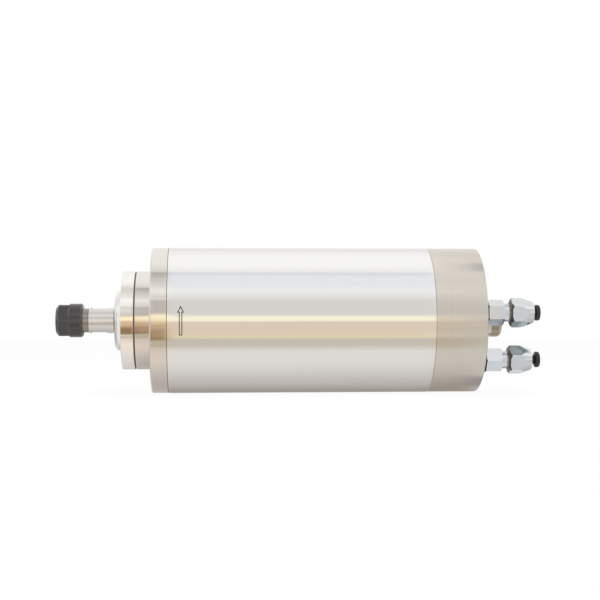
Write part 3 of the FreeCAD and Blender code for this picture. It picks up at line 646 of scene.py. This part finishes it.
def makeDustCap():
    size = noseSettings
    nose, back = reach("dust_cap")[:2]
    capFace = nose + size["domeHeight"]
    rim = size["domeDiameter"] / 2
    shoulder = nose + size["domeFall"]
    side = rim - size["domeTaper"]
    corner = size["domeCorner"]
    dome = turned("dustCap", [
        (nose, size["domeHole"] / 2), (nose, size["domeNose"] / 2),
        *quarterRound(shoulder + corner, side - corner, corner, 180, 90, 10),
        (capFace, rim), (capFace + size["rimDepth"], rim), (capFace + size["rimDepth"], size["hub"] / 2),
        (back, size["hub"] / 2), (back, size["seat"] / 2), (nose + size["domeShell"], size["seat"] / 2),
        (nose + size["domeShell"], size["domeHole"] / 2)], 144)
    return place(soften(dome, 0.15 * mm, 3), "rotor", "dust_cap")


shaftSettings = {
    "nose": 14.0 * mm,
    "edge": 0.8 * mm,
    "relief": 13.2 * mm,
    "reliefStart": -119.0 * mm,
    "reliefEnd": -114.75 * mm,
    "flats": 13.0 * mm,
    "flatStart": -113.55 * mm,
    "flatEnd": -104.9 * mm,
    "seat": 20.0 * mm,
    "frontSeat": 24.9 * mm,
    "shoulder": 29.0 * mm,
    "rotorSeat": 25.0 * mm,
    "rearStep": 18.0 * mm,
    "rearSeat": 14.9 * mm,
    "threadPitch": 0.75 * mm,
    "threadDepth": 0.25 * mm,
    "shadow": 0.5 * mm,
}


def makeShaft():
    size = shaftSettings
    mouth, tail = reach("spindle_shaft")[:2]
    nose = size["nose"] / 2
    domeBack = reach("dust_cap")[0] + noseSettings["domeShell"]
    shadow = reach("dust_cap")[0] - size["shadow"]
    inner = reach("front_bearing_inner_rings")
    rotorLow, rotorHigh = reach("rotor_end_rings")[:2]
    rear = reach("rear_bearing_inner_rings")
    collet = reach("collet")
    taper = math.tan(math.radians(8.0))
    mouthBore = 5.6 * mm - (mouth - (collet[0] + 5.281 * mm)) * taper
    coneEnd = collet[1] + mm
    coneBore = mouthBore - (coneEnd - mouth) * taper
    shaft = turned("shaft", [
        (mouth, mouthBore), (mouth, nose - size["edge"]), (mouth + size["edge"], nose),
        (size["reliefStart"], nose), (size["reliefStart"] + 0.3 * mm, size["relief"] / 2),
        (size["reliefEnd"] - 0.3 * mm, size["relief"] / 2), (size["reliefEnd"], nose),
        (shadow, nose), (domeBack, nose), (domeBack, size["seat"] / 2), (inner[0], size["seat"] / 2),
        (inner[0], size["frontSeat"] / 2), (inner[1], size["frontSeat"] / 2), (inner[1], size["shoulder"] / 2),
        (rotorLow, size["shoulder"] / 2), (rotorLow, size["rotorSeat"] / 2), (rotorHigh, size["rotorSeat"] / 2),
        (rear[0] - 4.0 * mm, size["rearStep"] / 2), (rear[0], size["rearStep"] / 2),
        (rear[0], size["rearSeat"] / 2), (tail - size["edge"], size["rearSeat"] / 2),
        (tail, size["rearSeat"] / 2 - size["edge"]), (tail, 1.0 * mm), (coneEnd + 16.0 * mm, 1.0 * mm),
        (coneEnd + 13.0 * mm, 3.8 * mm), (coneEnd, 3.8 * mm), (coneEnd, coneBore)], 128)
    for side in (-1, 1):
        deselect()
        deep = 4.0 * mm
        bpy.ops.mesh.primitive_cube_add(
            size=1, location=((size["flatStart"] + size["flatEnd"]) / 2, 0, side * (size["flats"] / 2 + deep / 2)),
            scale=(size["flatEnd"] - size["flatStart"], 20 * mm, deep))
        combine(shaft, bpy.context.object)
    soften(shaft, 0.07 * mm)
    ridge = threadRidge(size["reliefStart"] - 7.5 * mm, size["reliefEnd"] - 0.3 * mm, size["relief"] / 2,
                        size["threadPitch"], size["threadDepth"])
    place(joined([shaft, ridge], "shaft"), "rotor", "spindle_shaft")
    # The shaft just in front of the dust cap gets a painted shadow where it enters the cap
    stainAndShade(shaft, "seam", lambda middle, normal: shadow < middle.x < domeBack
          and math.hypot(middle.y, middle.z) > nose - 0.1 * mm)
    # The end walls of the spanner flats get painted shade in the steps
    stainAndShade(shaft, "seam", lambda middle, normal: abs(normal.x) > 0.9 and abs(middle.z) > size["flats"] / 2
          and size["flatStart"] - 0.1 * mm < middle.x < size["flatEnd"] + 0.1 * mm)
    return stainAndShade(shaft, "thread_steel", lambda middle, normal: middle.x < size["reliefEnd"]
                 and math.hypot(middle.y, middle.z) > size["relief"] / 2 - 0.1 * mm)


nutSettings = {
    "hexagon": 17.0 * mm,
    "collar": 18.5 * mm,
    "collarLength": 6.9 * mm,
    "collarChamfer": 0.8 * mm,
    "scallop": 1.3 * mm,
    "face": 14.4 * mm,
    "faceChamfer": 1.7 * mm,
    "hole": 8.15 * mm,
    "seat": 11.6 * mm,
    "lip": 9.9 * mm,
    "thread": 14.1 * mm,
}


def makeColletNut():
    size = nutSettings
    low, high = reach("collet_nut")[:2]
    hexEnd = high - size["collarLength"]
    collar = size["collar"] / 2
    envelope = turned("envelope", [
        (low, size["face"] / 2), (low + size["faceChamfer"], collar), (hexEnd, collar)], 144, closed=False)
    head = combine(hexBar("head", size["hexagon"], low - mm, hexEnd), envelope, "INTERSECT")
    barrel = turned("barrel", [
        (hexEnd - size["scallop"], size["hexagon"] / 2 - 0.25 * mm), (hexEnd, collar),
        (high - size["collarChamfer"], collar), (high, collar - size["collarChamfer"])], 144, closed=False)
    nut = combine(head, barrel, "UNION")
    inside = turned("inside", [
        (low - mm, size["hole"] / 2), (low + mm, size["hole"] / 2), (low + 3.4 * mm, size["seat"] / 2),
        (low + 4.0 * mm, size["seat"] / 2), (low + 4.0 * mm, size["lip"] / 2), (low + 5.3 * mm, size["lip"] / 2),
        (low + 5.3 * mm, size["thread"] / 2), (high + mm, size["thread"] / 2)], 96, closed=False)
    combine(nut, inside)
    nut.name = "colletNut"
    return place(soften(nut, 0.22 * mm, 3, 25.0), "collet_nut_body", "collet_nut")


colletSettings = {"slots": 6, "slotTurn": 7.5, "slotWidth": 0.5 * mm, "slotRoot": 3.2 * mm}


def makeCollet():
    size = colletSettings
    low, high, radius, _ = reach("collet")
    bore = 3.0 * mm
    face = 4.2 * mm
    shoulder = low + (radius - face) / math.tan(math.radians(30.0))
    taperStart = shoulder + 2.6 * mm
    taperEnd = 5.6 * mm - (high - taperStart) * math.tan(math.radians(8.0))
    collet = turned("colletSleeve", [
        (low, bore), (low, face), (shoulder, radius), (shoulder + 0.6 * mm, radius),
        (shoulder + 0.6 * mm, 4.6 * mm), (taperStart, 4.6 * mm), (taperStart, 5.6 * mm), (high, taperEnd),
        (high, bore)], 120)
    for i in range(2 * size["slots"]):
        fromFront = i % 2 == 0
        start = low - mm if fromFront else low + size["slotRoot"]
        end = high - size["slotRoot"] if fromFront else high + mm
        deselect()
        bpy.ops.mesh.primitive_cube_add(size=1, location=((start + end) / 2, 5 * mm, 0),
                                        scale=(end - start, 8 * mm, size["slotWidth"]))
        combine(collet, settle(bpy.context.object, turn=size["slotTurn"] + 30.0 * i))
    return place(soften(collet, 0.05 * mm), "collet_body", "collet")


# The two hose fittings: washer, body, conical nut and plug
fittingSettings = {
    "hexagon": 12.0 * mm,
    "hexLength": 8.6 * mm,
    "hexChamfer": 0.7 * mm,
    "stem": 10.0 * mm,
    "root": 9.0 * mm,
    "waterBore": 4.0 * mm,
    "hose": 6.1 * mm,
    "nutHexagon": 14.0 * mm,
    "nutDiameter": 15.9 * mm,
    "nutCone": 6.5 * mm,
    "nutNose": 11.9 * mm,
    "nutBack": 14.4 * mm,
    "nutBackChamfer": 0.8 * mm,
    "threadPitch": 1.0 * mm,
    "threadDepth": 0.5 * mm,
    "threadShown": 1.5 * mm,
    "turns": {"upper": (180.0, 183.4), "lower": (213.6, 192.7)},
}


def makeWasher(side):
    low, high, radius, centre = reach(side + "_seal_washer")
    washer = turned(side + "Washer", [(low, 4.55 * mm), (low, radius), (high, radius), (high, 4.55 * mm)], 72)
    return place(soften(settle(washer, centre=centre), 0.2 * mm, 3), "housing", side + "_seal_washer")


def makeFitting(side):
    size = fittingSettings
    low, high, _, centre = reach(side + "_fitting_body")
    base = reach(side + "_seal_washer")[1]
    top = base + size["hexLength"]
    corner = size["hexagon"] / math.sqrt(3)
    chamfer = size["hexChamfer"]
    threaded = reach(side + "_fitting_nut")[0] - size["threadShown"]
    envelope = turned("envelope", [
        (base, corner - chamfer), (base + chamfer / 2, corner), (top - chamfer / 2, corner),
        (top, corner - chamfer)], 96, closed=False)
    head = combine(hexBar("head", size["hexagon"], base - mm, top + mm, size["turns"][side][0]), envelope, "INTERSECT")
    stem = turned("stem", [
        (low, size["root"] / 2 - 0.8 * mm), (low + 0.8 * mm, size["root"] / 2), (base + mm, size["root"] / 2),
        (base + mm, size["stem"] / 2 - 0.05 * mm), (threaded, size["stem"] / 2 - 0.05 * mm),
        (threaded + 0.4 * mm, size["stem"] / 2 - 0.45 * mm), (high - 0.8 * mm, size["stem"] / 2 - 0.45 * mm),
        (high, size["stem"] / 2 - 0.8 * mm)], 72, closed=False)
    body = combine(head, stem, "UNION")
    combine(body, bar(size["waterBore"] / 2, low - mm, high + mm))
    combine(body, bar(size["hose"] / 2, high - 6.0 * mm, high + mm))
    soften(body, 0.12 * mm, 2, 25.0)
    ridge = threadRidge(threaded, high - 0.2 * mm, size["stem"] / 2 - 0.25 * mm, size["threadPitch"],
                        size["threadDepth"])
    body = settle(joined([body, ridge], side + "Fitting"), centre=centre)
    place(body, "housing", side + "_fitting_body")
    if side == "upper":
        # The upper fitting's downward hex facets get painted shade where they face the lower fitting
        stainAndShade(body, "fitting_facing_shade", lambda middle, normal: normal.z < -0.7 and middle.x < top)
    return stainAndShade(body, "thread_steel", lambda middle, normal: middle.x > threaded)


def makeHoseNut(side):
    size = fittingSettings
    low, high, _, centre = reach(side + "_fitting_nut")
    outer = size["nutDiameter"] / 2
    nose = size["nutNose"] / 2
    envelope = turned("envelope", [
        (low, size["nutBack"] / 2), (low + size["nutBackChamfer"], outer), (high - size["nutCone"], outer),
        (high - 0.3 * mm, nose), (high, nose - 0.3 * mm)], 120, closed=False)
    nut = combine(hexBar("hex", size["nutHexagon"], low - mm, high + mm, size["turns"][side][1]), envelope, "INTERSECT")
    combine(nut, bar(size["stem"] / 2 + 0.05 * mm, low - mm, high - 3.4 * mm, 72))
    combine(nut, bar(3.1 * mm, high - 4.0 * mm, high + mm))
    nut.name = side + "HoseNut"
    settle(soften(nut, 0.4 * mm, 3, 22.0), centre=centre)
    place(nut, side + "_hose_nut", side + "_fitting_nut")
    facing = -1 if side == "upper" else 1
    # The nut's hex facets that face the other fitting get painted shade
    stainAndShade(nut, "fitting_facing_shade", lambda middle, normal: normal.z * facing > 0.7 and normal.y < 0
          and abs(normal.x) < 0.05)
    return stainAndShade(nut, "fitting_shade", lambda middle, normal: middle.x < low + size["nutBackChamfer"]
                 and normal.x < -0.5)


plugSettings = {"neck": 4.3 * mm, "head": 8.5 * mm, "headLength": 3.25 * mm, "shank": 6.0 * mm, "round": 0.9 * mm,
                "underside": 1.0 * mm}


def makePlug(side):
    size = plugSettings
    low, high, _, centre = reach(side + "_dust_plug")
    nutEnd = reach(side + "_fitting_nut")[1]
    head = high - size["headLength"]
    plug = turned(side + "Plug", [
        (low, size["shank"] / 2 - 0.3 * mm), (low + 0.3 * mm, size["shank"] / 2), (nutEnd - 0.3 * mm, size["shank"] / 2),
        (nutEnd, size["neck"] / 2), (head, size["neck"] / 2), (head + size["underside"], size["head"] / 2),
        *quarterRound(high - size["round"], size["head"] / 2 - size["round"], size["round"], 90, 0, 5)],
        72, closed=False)
    return place(soften(settle(plug, centre=centre), 0.15 * mm, 2), side + "_plug", side + "_dust_plug")


# The electrical socket: shell with its threaded barrel, gasket, insulator and pins
socketSettings = {
    "flangeEnd": 2.0 * mm,
    "plain": 18.6 * mm,
    "plainLength": 5.6 * mm,
    "thread": 19.2 * mm,
    "hollow": 16.0 * mm,
    "hollowDepth": 8.2 * mm,
    "neck": 17.0 * mm,
    "insulator": 15.4 * mm,
    "chamfer": 1.0 * mm,
    "pin": 1.9 * mm,
    "pinCircle": 10.0 * mm,
    "threadPitch": 1.0 * mm,
    "threadDepth": 0.18 * mm,
}


def makeSocketShell():
    size = socketSettings
    low, high, flange, _ = reach("socket_shell")
    base = reach("socket_gasket")[1]
    flangeEnd = base + size["flangeEnd"]
    plainEnd = flangeEnd + size["plainLength"]
    floor = high - size["hollowDepth"]
    core = size["thread"] / 2 - 0.35 * mm
    shell = turned("socketShell", [
        (low, size["insulator"] / 2), (low, size["neck"] / 2), (base, size["neck"] / 2), (base, flange),
        (flangeEnd - 0.3 * mm, flange), (flangeEnd, flange - 0.3 * mm), (flangeEnd, size["plain"] / 2),
        (plainEnd, size["plain"] / 2), (plainEnd + 0.3 * mm, core), (high - size["chamfer"], core),
        (high, size["thread"] / 2 - size["chamfer"]), (high, size["hollow"] / 2), (floor, size["hollow"] / 2),
        (floor, size["insulator"] / 2)], 120)
    soften(shell, 0.1 * mm)
    ridge = threadRidge(plainEnd + 0.2 * mm, high - 0.2 * mm, size["thread"] / 2 - 0.2 * mm, size["threadPitch"],
                        size["threadDepth"], 60)
    place(joined([shell, ridge], "socketShell"), "housing", "socket_shell")
    return stainAndShade(shell, "socket_thread", lambda middle, normal: middle.x > plainEnd)


def makeSocketInside():
    size = socketSettings
    low, high, _, _ = reach("socket_insulator")
    core = turned("socketCore", [(low, size["insulator"] / 2), (high, size["insulator"] / 2)], 96, closed=False)
    for i in range(4):
        hole = bar(1.0 * mm, low - mm, high + mm, 32)
        combine(core, settle(hole, centre=onCircle(size["pinCircle"], 45.0 + 90.0 * i)))
    place(soften(core, 0.15 * mm), "housing", "socket_insulator")
    low, high = reach("socket_pins")[:2]
    pin = turned("pin", [
        (low, size["pin"] / 2), (high - 0.5 * mm, size["pin"] / 2), (high, size["pin"] / 4)], 32, closed=False)
    pins = [settle(copyOf(pin), centre=onCircle(size["pinCircle"], 45.0 + 90.0 * i)) for i in range(4)]
    bpy.data.objects.remove(pin, do_unlink=True)
    place(soften(joined(pins, "socketPins"), 0.1 * mm), "housing", "socket_pins")
    low, high, radius, _ = reach("socket_gasket")
    gasket = turned("socketGasket", [(low, 8.6 * mm), (low, radius), (high, radius), (high, 8.6 * mm)], 96)
    return place(soften(gasket, 0.1 * mm), "housing", "socket_gasket")


makeTube()
makeBell()
makeBearingCap()
makeRearCap()
print("body made")
makeScrews("flange_screws", "flangeScrews", -1)
makeScrews("rear_cap_screws", "rearScrews", 1)
print("screws made")
makeDustCap()
makeShaft()
makeColletNut()
makeCollet()
print("nose made")
for side in ("upper", "lower"):
    makeWasher(side)
    makeFitting(side)
    makeHoseNut(side)
    makePlug(side)
print("hose fittings made")
makeSocketShell()
makeSocketInside()
print("socket made")


# The studio: a white floor and backdrop, and bands of light that the metal reflects
def linear(level):
    value = level / 255
    return ((value + 0.055) / 1.055) ** 2.4 if value > 0.04045 else value / 12.92


def lit(red, green, blue):
    return (linear(red), linear(green), linear(blue), 1)


studioColours = {
    "white": lit(255, 254, 252),
    "pale": lit(245, 244, 242),
    "silver": lit(236, 234, 231),
    "pearl": lit(229, 225, 220),
    "light": lit(220, 217, 212),
    "grey": lit(207, 202, 197),
    "dim": lit(194, 188, 183),
    "shade": lit(163, 156, 150),
    "cream": lit(255, 249, 222),
    "wheat": lit(236, 211, 177),
    "tan": lit(214, 184, 154),
    "bronze": lit(190, 160, 128),
    "brown": lit(173, 145, 113),
    "sand": lit(204, 191, 170),
    "stone": lit(203, 195, 179),
    "fawn": lit(223, 212, 195),
    "linen": lit(234, 222, 210),
    "peach": lit(229, 213, 184),
    "rose": lit(227, 208, 190),
    "cool": lit(221, 224, 227),
    "mist": lit(206, 210, 214),
    "slate": lit(140, 147, 151),
    "frost": lit(236, 237, 241),
    "ivory": lit(243, 233, 218),
    "umber": lit(150, 122, 90),
    "glow": lit(276, 261, 228),
    "butter": lit(262, 245, 209),
    "honey": lit(248, 226, 187),
}

# Bands of light by angle around the spindle's axis: 0 is level towards the camera and 90 is up
studioBands = {
    "nose": [
        (-160, "grey"), (-110, "dim"), (-85, "grey"), (-60, "light"), (-50, "light"), (-40, "dim"), (-30, "dim"),
        (-20, "light"), (-12, "pale"), (4, "pale"), (12, "grey"), (24, "grey"), (33, "light"), (43, "pale"),
        (53, "light"), (63, "grey"), (76, "grey"), (86, "pearl"), (115, "light"), (128, "white"), (170, "white")],
    "ring": [
        (-165, "grey"), (-110, "light"), (-85, "pearl"), (-58, "ivory"), (-50, "linen"), (-42.5, "fawn"),
        (-41, "sand"), (-38, "sand"), (-35.5, "fawn"), (-33.5, "sand"), (-31, "umber"), (-19.5, "umber"),
        (-14, "bronze"), (-10, "tan"), (-3.2, "tan"), (-0.6, "honey"), (1.7, "butter"), (6.5, "butter"),
        (9.5, "peach"), (12.5, "grey"), (22, "pearl"), (31, "light"), (34, "pale"), (39, "pale"), (44, "white"),
        (48, "white"), (57, "silver"), (74, "light"), (80, "light"), (92, "pale"), (104, "white"), (165, "pale")],
    "front": [
        (-118, "dim"), (-95, "grey"), (-68, "linen"), (-54, "linen"), (-44, "fawn"), (-41, "sand"),
        (-32, "sand"), (-30.2, "brown"), (-27, "brown"), (-24, "bronze"), (-16, "bronze"), (-11, "tan"), (-7.5, "tan"),
        (-4, "wheat"), (-2, "honey"), (0, "butter"), (4, "glow"), (8, "glow"), (11, "fawn"), (13, "grey"),
        (30, "grey"), (33, "silver"),
        (38, "silver"), (44, "white"), (49, "white"), (57, "silver"), (68, "light"), (79, "dim"), (84, "silver"),
        (100, "white"), (130, "white"), (170, "pale")],
    "tube": [
        (-170, "shade"), (-148, "shade"), (-118, "dim"), (-98, "grey"), (-82, "light"), (-66, "pearl"), (-50, "pearl"),
        (-39, "stone"), (-30, "stone"), (-27, "peach"), (-21, "peach"), (-16, "rose"), (-3, "rose"), (0, "cream"),
        (5, "cream"), (9, "light"), (30, "light"), (39, "silver"), (47, "pale"), (56, "frost"), (72, "frost"),
        (79, "cool"), (83, "pale"), (96, "white"), (118, "white"), (136, "pale"), (152, "silver"), (170, "pale")],
    "cap": [
        (-170, "shade"), (-136, "shade"), (-108, "dim"), (-88, "grey"), (-62, "light"), (-48, "light"), (-41, "sand"),
        (-30, "sand"), (-25, "pearl"), (-21, "pearl"), (-15, "fawn"), (-3, "fawn"), (1, "ivory"), (6.5, "ivory"),
        (11, "light"), (27, "pearl"), (36, "silver"), (46, "pale"), (64, "silver"), (72, "pale"), (84, "white"),
        (104, "pale"), (130, "silver"), (170, "pale")],
    "rear": [
        (-170, "cool"), (-135, "cool"), (-128, "slate"), (-106, "slate"), (-98, "cool"), (-40, "cool"), (-26, "mist"), (-12, "mist"), (-7, "cool"),
        (-4, "mist"), (4, "mist"), (30, "cool"), (53, "silver"), (80, "silver"), (88, "slate"), (100, "slate"),
        (107, "silver"), (170, "silver")],
    "side": [
        (-170, "dim"), (-120, "dim"), (-80, "grey"), (-40, "light"), (-22, "grey"), (-8, "grey"), (4, "pale"),
        (14, "light"), (34, "grey"), (46, "white"), (70, "pale"), (88, "light"), (104, "white"), (170, "silver")],
    "pole": [
        (-170, "light"), (-110, "silver"), (-70, "pale"), (-15, "white"), (60, "white"), (85, "silver"),
        (110, "white")],
}


def fillRamp(ramp, bands):
    elements = ramp.color_ramp.elements
    while len(elements) > 1:
        elements.remove(elements[-1])
    for i, (angle, colour) in enumerate(bands):
        spot = elements[0] if i == 0 else elements.new((angle + 180) / 360)
        spot.position = (angle + 180) / 360
        spot.color = studioColours[colour]


cameraSettings = {"place": (-0.04476, -0.71037, 0.00252), "turn": (90.697, 0.06, -3.698), "lens": 76.9}


# The studio's light by direction: each stretch of the spindle has its own bands
def makeWorld():
    tubeRadius = reach("outer_tube")[2]
    cameraDistance = -cameraSettings["place"][1]
    world = bpy.data.worlds.new("studio")
    bpy.context.scene.world = world
    world.use_nodes = True
    nodes, links = world.node_tree.nodes, world.node_tree.links
    nodes.clear()

    def maths(operation, first, second=None, third=None):
        node = nodes.new("ShaderNodeMath")
        node.operation = operation
        for socket, value in zip(node.inputs, (first, second, third)):
            if value is None:
                continue
            if isinstance(value, (int, float)):
                socket.default_value = value
            else:
                links.new(value, socket)
        return node.outputs["Value"]

    def blendBy(amount, first, second):
        node = nodes.new("ShaderNodeMix")
        node.data_type = "RGBA"
        for label, value in (("Factor", amount), ("A", first), ("B", second)):
            socket = next(s for s in node.inputs if s.name == label and (label == "Factor" or s.type == "RGBA"))
            if isinstance(value, tuple):
                socket.default_value = value
            else:
                links.new(value, socket)
        return next(s for s in node.outputs if s.type == "RGBA")

    def step(value, low, high):
        node = nodes.new("ShaderNodeMapRange")
        node.interpolation_type = "SMOOTHSTEP"
        links.new(value, node.inputs["Value"])
        node.inputs["From Min"].default_value = low
        node.inputs["From Max"].default_value = high
        return node.outputs["Result"]

    heading = nodes.new("ShaderNodeTexCoord")
    parts = nodes.new("ShaderNodeSeparateXYZ")
    links.new(heading.outputs["Generated"], parts.inputs["Vector"])
    along, away, up = parts.outputs["X"], parts.outputs["Y"], parts.outputs["Z"]
    angle = maths("ARCTAN2", up, maths("MULTIPLY", away, -1.0))
    share = maths("MULTIPLY_ADD", angle, 1 / (2 * halfTurn), 0.5)
    ramps = {}
    for name, bands in studioBands.items():
        ramps[name] = nodes.new("ShaderNodeValToRGB")
        fillRamp(ramps[name], bands)
        links.new(share, ramps[name].inputs["Fac"])
    # How far from the camera, along the spindle, a ray left the tube's surface
    depth = maths("MULTIPLY_ADD", maths("COSINE", maths("MULTIPLY", angle, 0.5)), -tubeRadius, cameraDistance)
    ahead = maths("SQRT", maths("SUBTRACT", 1.0, maths("MULTIPLY", along, along)))
    spot = maths("DIVIDE", maths("MULTIPLY", along, depth), maths("MAXIMUM", ahead, 0.01))
    starts = {"ring": reach("front_bearing_cap")[0] - 5.5 * mm, "front": reach("front_end_bell")[0] + 0.4 * mm,
              "tube": reach("outer_tube")[0],
              "cap": reach("outer_tube")[1], "rear": reach("rear_cap")[1]}
    bands = ramps["nose"].outputs["Color"]
    for name, start in starts.items():
        border = start - cameraSettings["place"][0]
        bands = blendBy(step(spot, border - 0.1 * mm, border + 0.1 * mm), bands, ramps[name].outputs["Color"])
    bands = blendBy(step(along, 0.35, 0.6), bands, ramps["side"].outputs["Color"])
    behind = maths("MULTIPLY", along, -1.0)
    bands = blendBy(step(behind, 0.13, 0.42), bands, ramps["pole"].outputs["Color"])
    bands = blendBy(step(behind, 0.45, 0.6), bands, ramps["side"].outputs["Color"])
    rays = nodes.new("ShaderNodeLightPath")
    seen = blendBy(rays.outputs["Is Glossy Ray"], (1, 1, 1, 1), bands)
    plain = maths("SUBTRACT", 1.0, maths("MAXIMUM", rays.outputs["Is Camera Ray"], rays.outputs["Is Glossy Ray"]))
    strength = maths("SUBTRACT", 1.0, maths("MULTIPLY", plain, 0.25))
    background = nodes.new("ShaderNodeBackground")
    links.new(seen, background.inputs["Color"])
    links.new(strength, background.inputs["Strength"])
    output = nodes.new("ShaderNodeOutputWorld")
    links.new(background.outputs["Background"], output.inputs["Surface"])


makeWorld()

floorSettings = {"size": 3.0, "height": -40.2 * mm, "whiteness": 0.93}


def makeFloor():
    deselect()
    bpy.ops.mesh.primitive_plane_add(size=floorSettings["size"], location=(0, 0, floorSettings["height"]))
    floor = bpy.context.object
    floor.name = "studioFloor"
    material = bpy.data.materials.new("floor")
    material.use_nodes = True
    nodes, links = material.node_tree.nodes, material.node_tree.links
    nodes.clear()
    paper = nodes.new("ShaderNodeBsdfDiffuse")
    paper.inputs["Color"].default_value = (0.97, 0.97, 0.97, 1)
    glow = nodes.new("ShaderNodeEmission")
    rays = nodes.new("ShaderNodeLightPath")
    share = nodes.new("ShaderNodeMath")
    share.operation = "MULTIPLY"
    share.inputs[1].default_value = floorSettings["whiteness"]
    links.new(rays.outputs["Is Camera Ray"], share.inputs[0])
    blend = nodes.new("ShaderNodeMixShader")
    links.new(share.outputs["Value"], blend.inputs["Fac"])
    links.new(paper.outputs["BSDF"], blend.inputs[1])
    links.new(glow.outputs["Emission"], blend.inputs[2])
    output = nodes.new("ShaderNodeOutputMaterial")
    links.new(blend.outputs["Shader"], output.inputs["Surface"])
    floor.data.materials.append(material)
    floor.visible_glossy = False


makeFloor()

lampSettings = {
    "overhead": {"place": (-0.1, -0.25, 0.75), "aim": (0.0, 0.0, 0.0), "size": 0.9, "power": 3.0},
    "front": {"place": (0.1, -0.9, 0.35), "aim": (0.0, 0.0, 0.0), "size": 0.7, "power": 1.5},
}


def makeLamp(name, lamp):
    light = bpy.data.lights.new(name, "AREA")
    light.energy = lamp["power"]
    light.size = lamp["size"]
    holder = bpy.data.objects.new(name, light)
    bpy.context.scene.collection.objects.link(holder)
    holder.location = lamp["place"]
    direction = Vector(lamp["aim"]) - Vector(lamp["place"])
    holder.rotation_euler = direction.to_track_quat("-Z", "Y").to_euler()
    holder.visible_glossy = False


for name, lamp in lampSettings.items():
    makeLamp(name, lamp)

def makeCamera():
    lens = bpy.data.cameras.new("camera")
    lens.lens = cameraSettings["lens"]
    lens.sensor_width = 36.0
    camera = bpy.data.objects.new("camera", lens)
    bpy.context.scene.collection.objects.link(camera)
    camera.location = cameraSettings["place"]
    camera.rotation_euler = [math.radians(a) for a in cameraSettings["turn"]]
    bpy.context.scene.camera = camera


makeCamera()
bpy.context.scene.view_settings.view_transform = "Standard"
print("studio made")
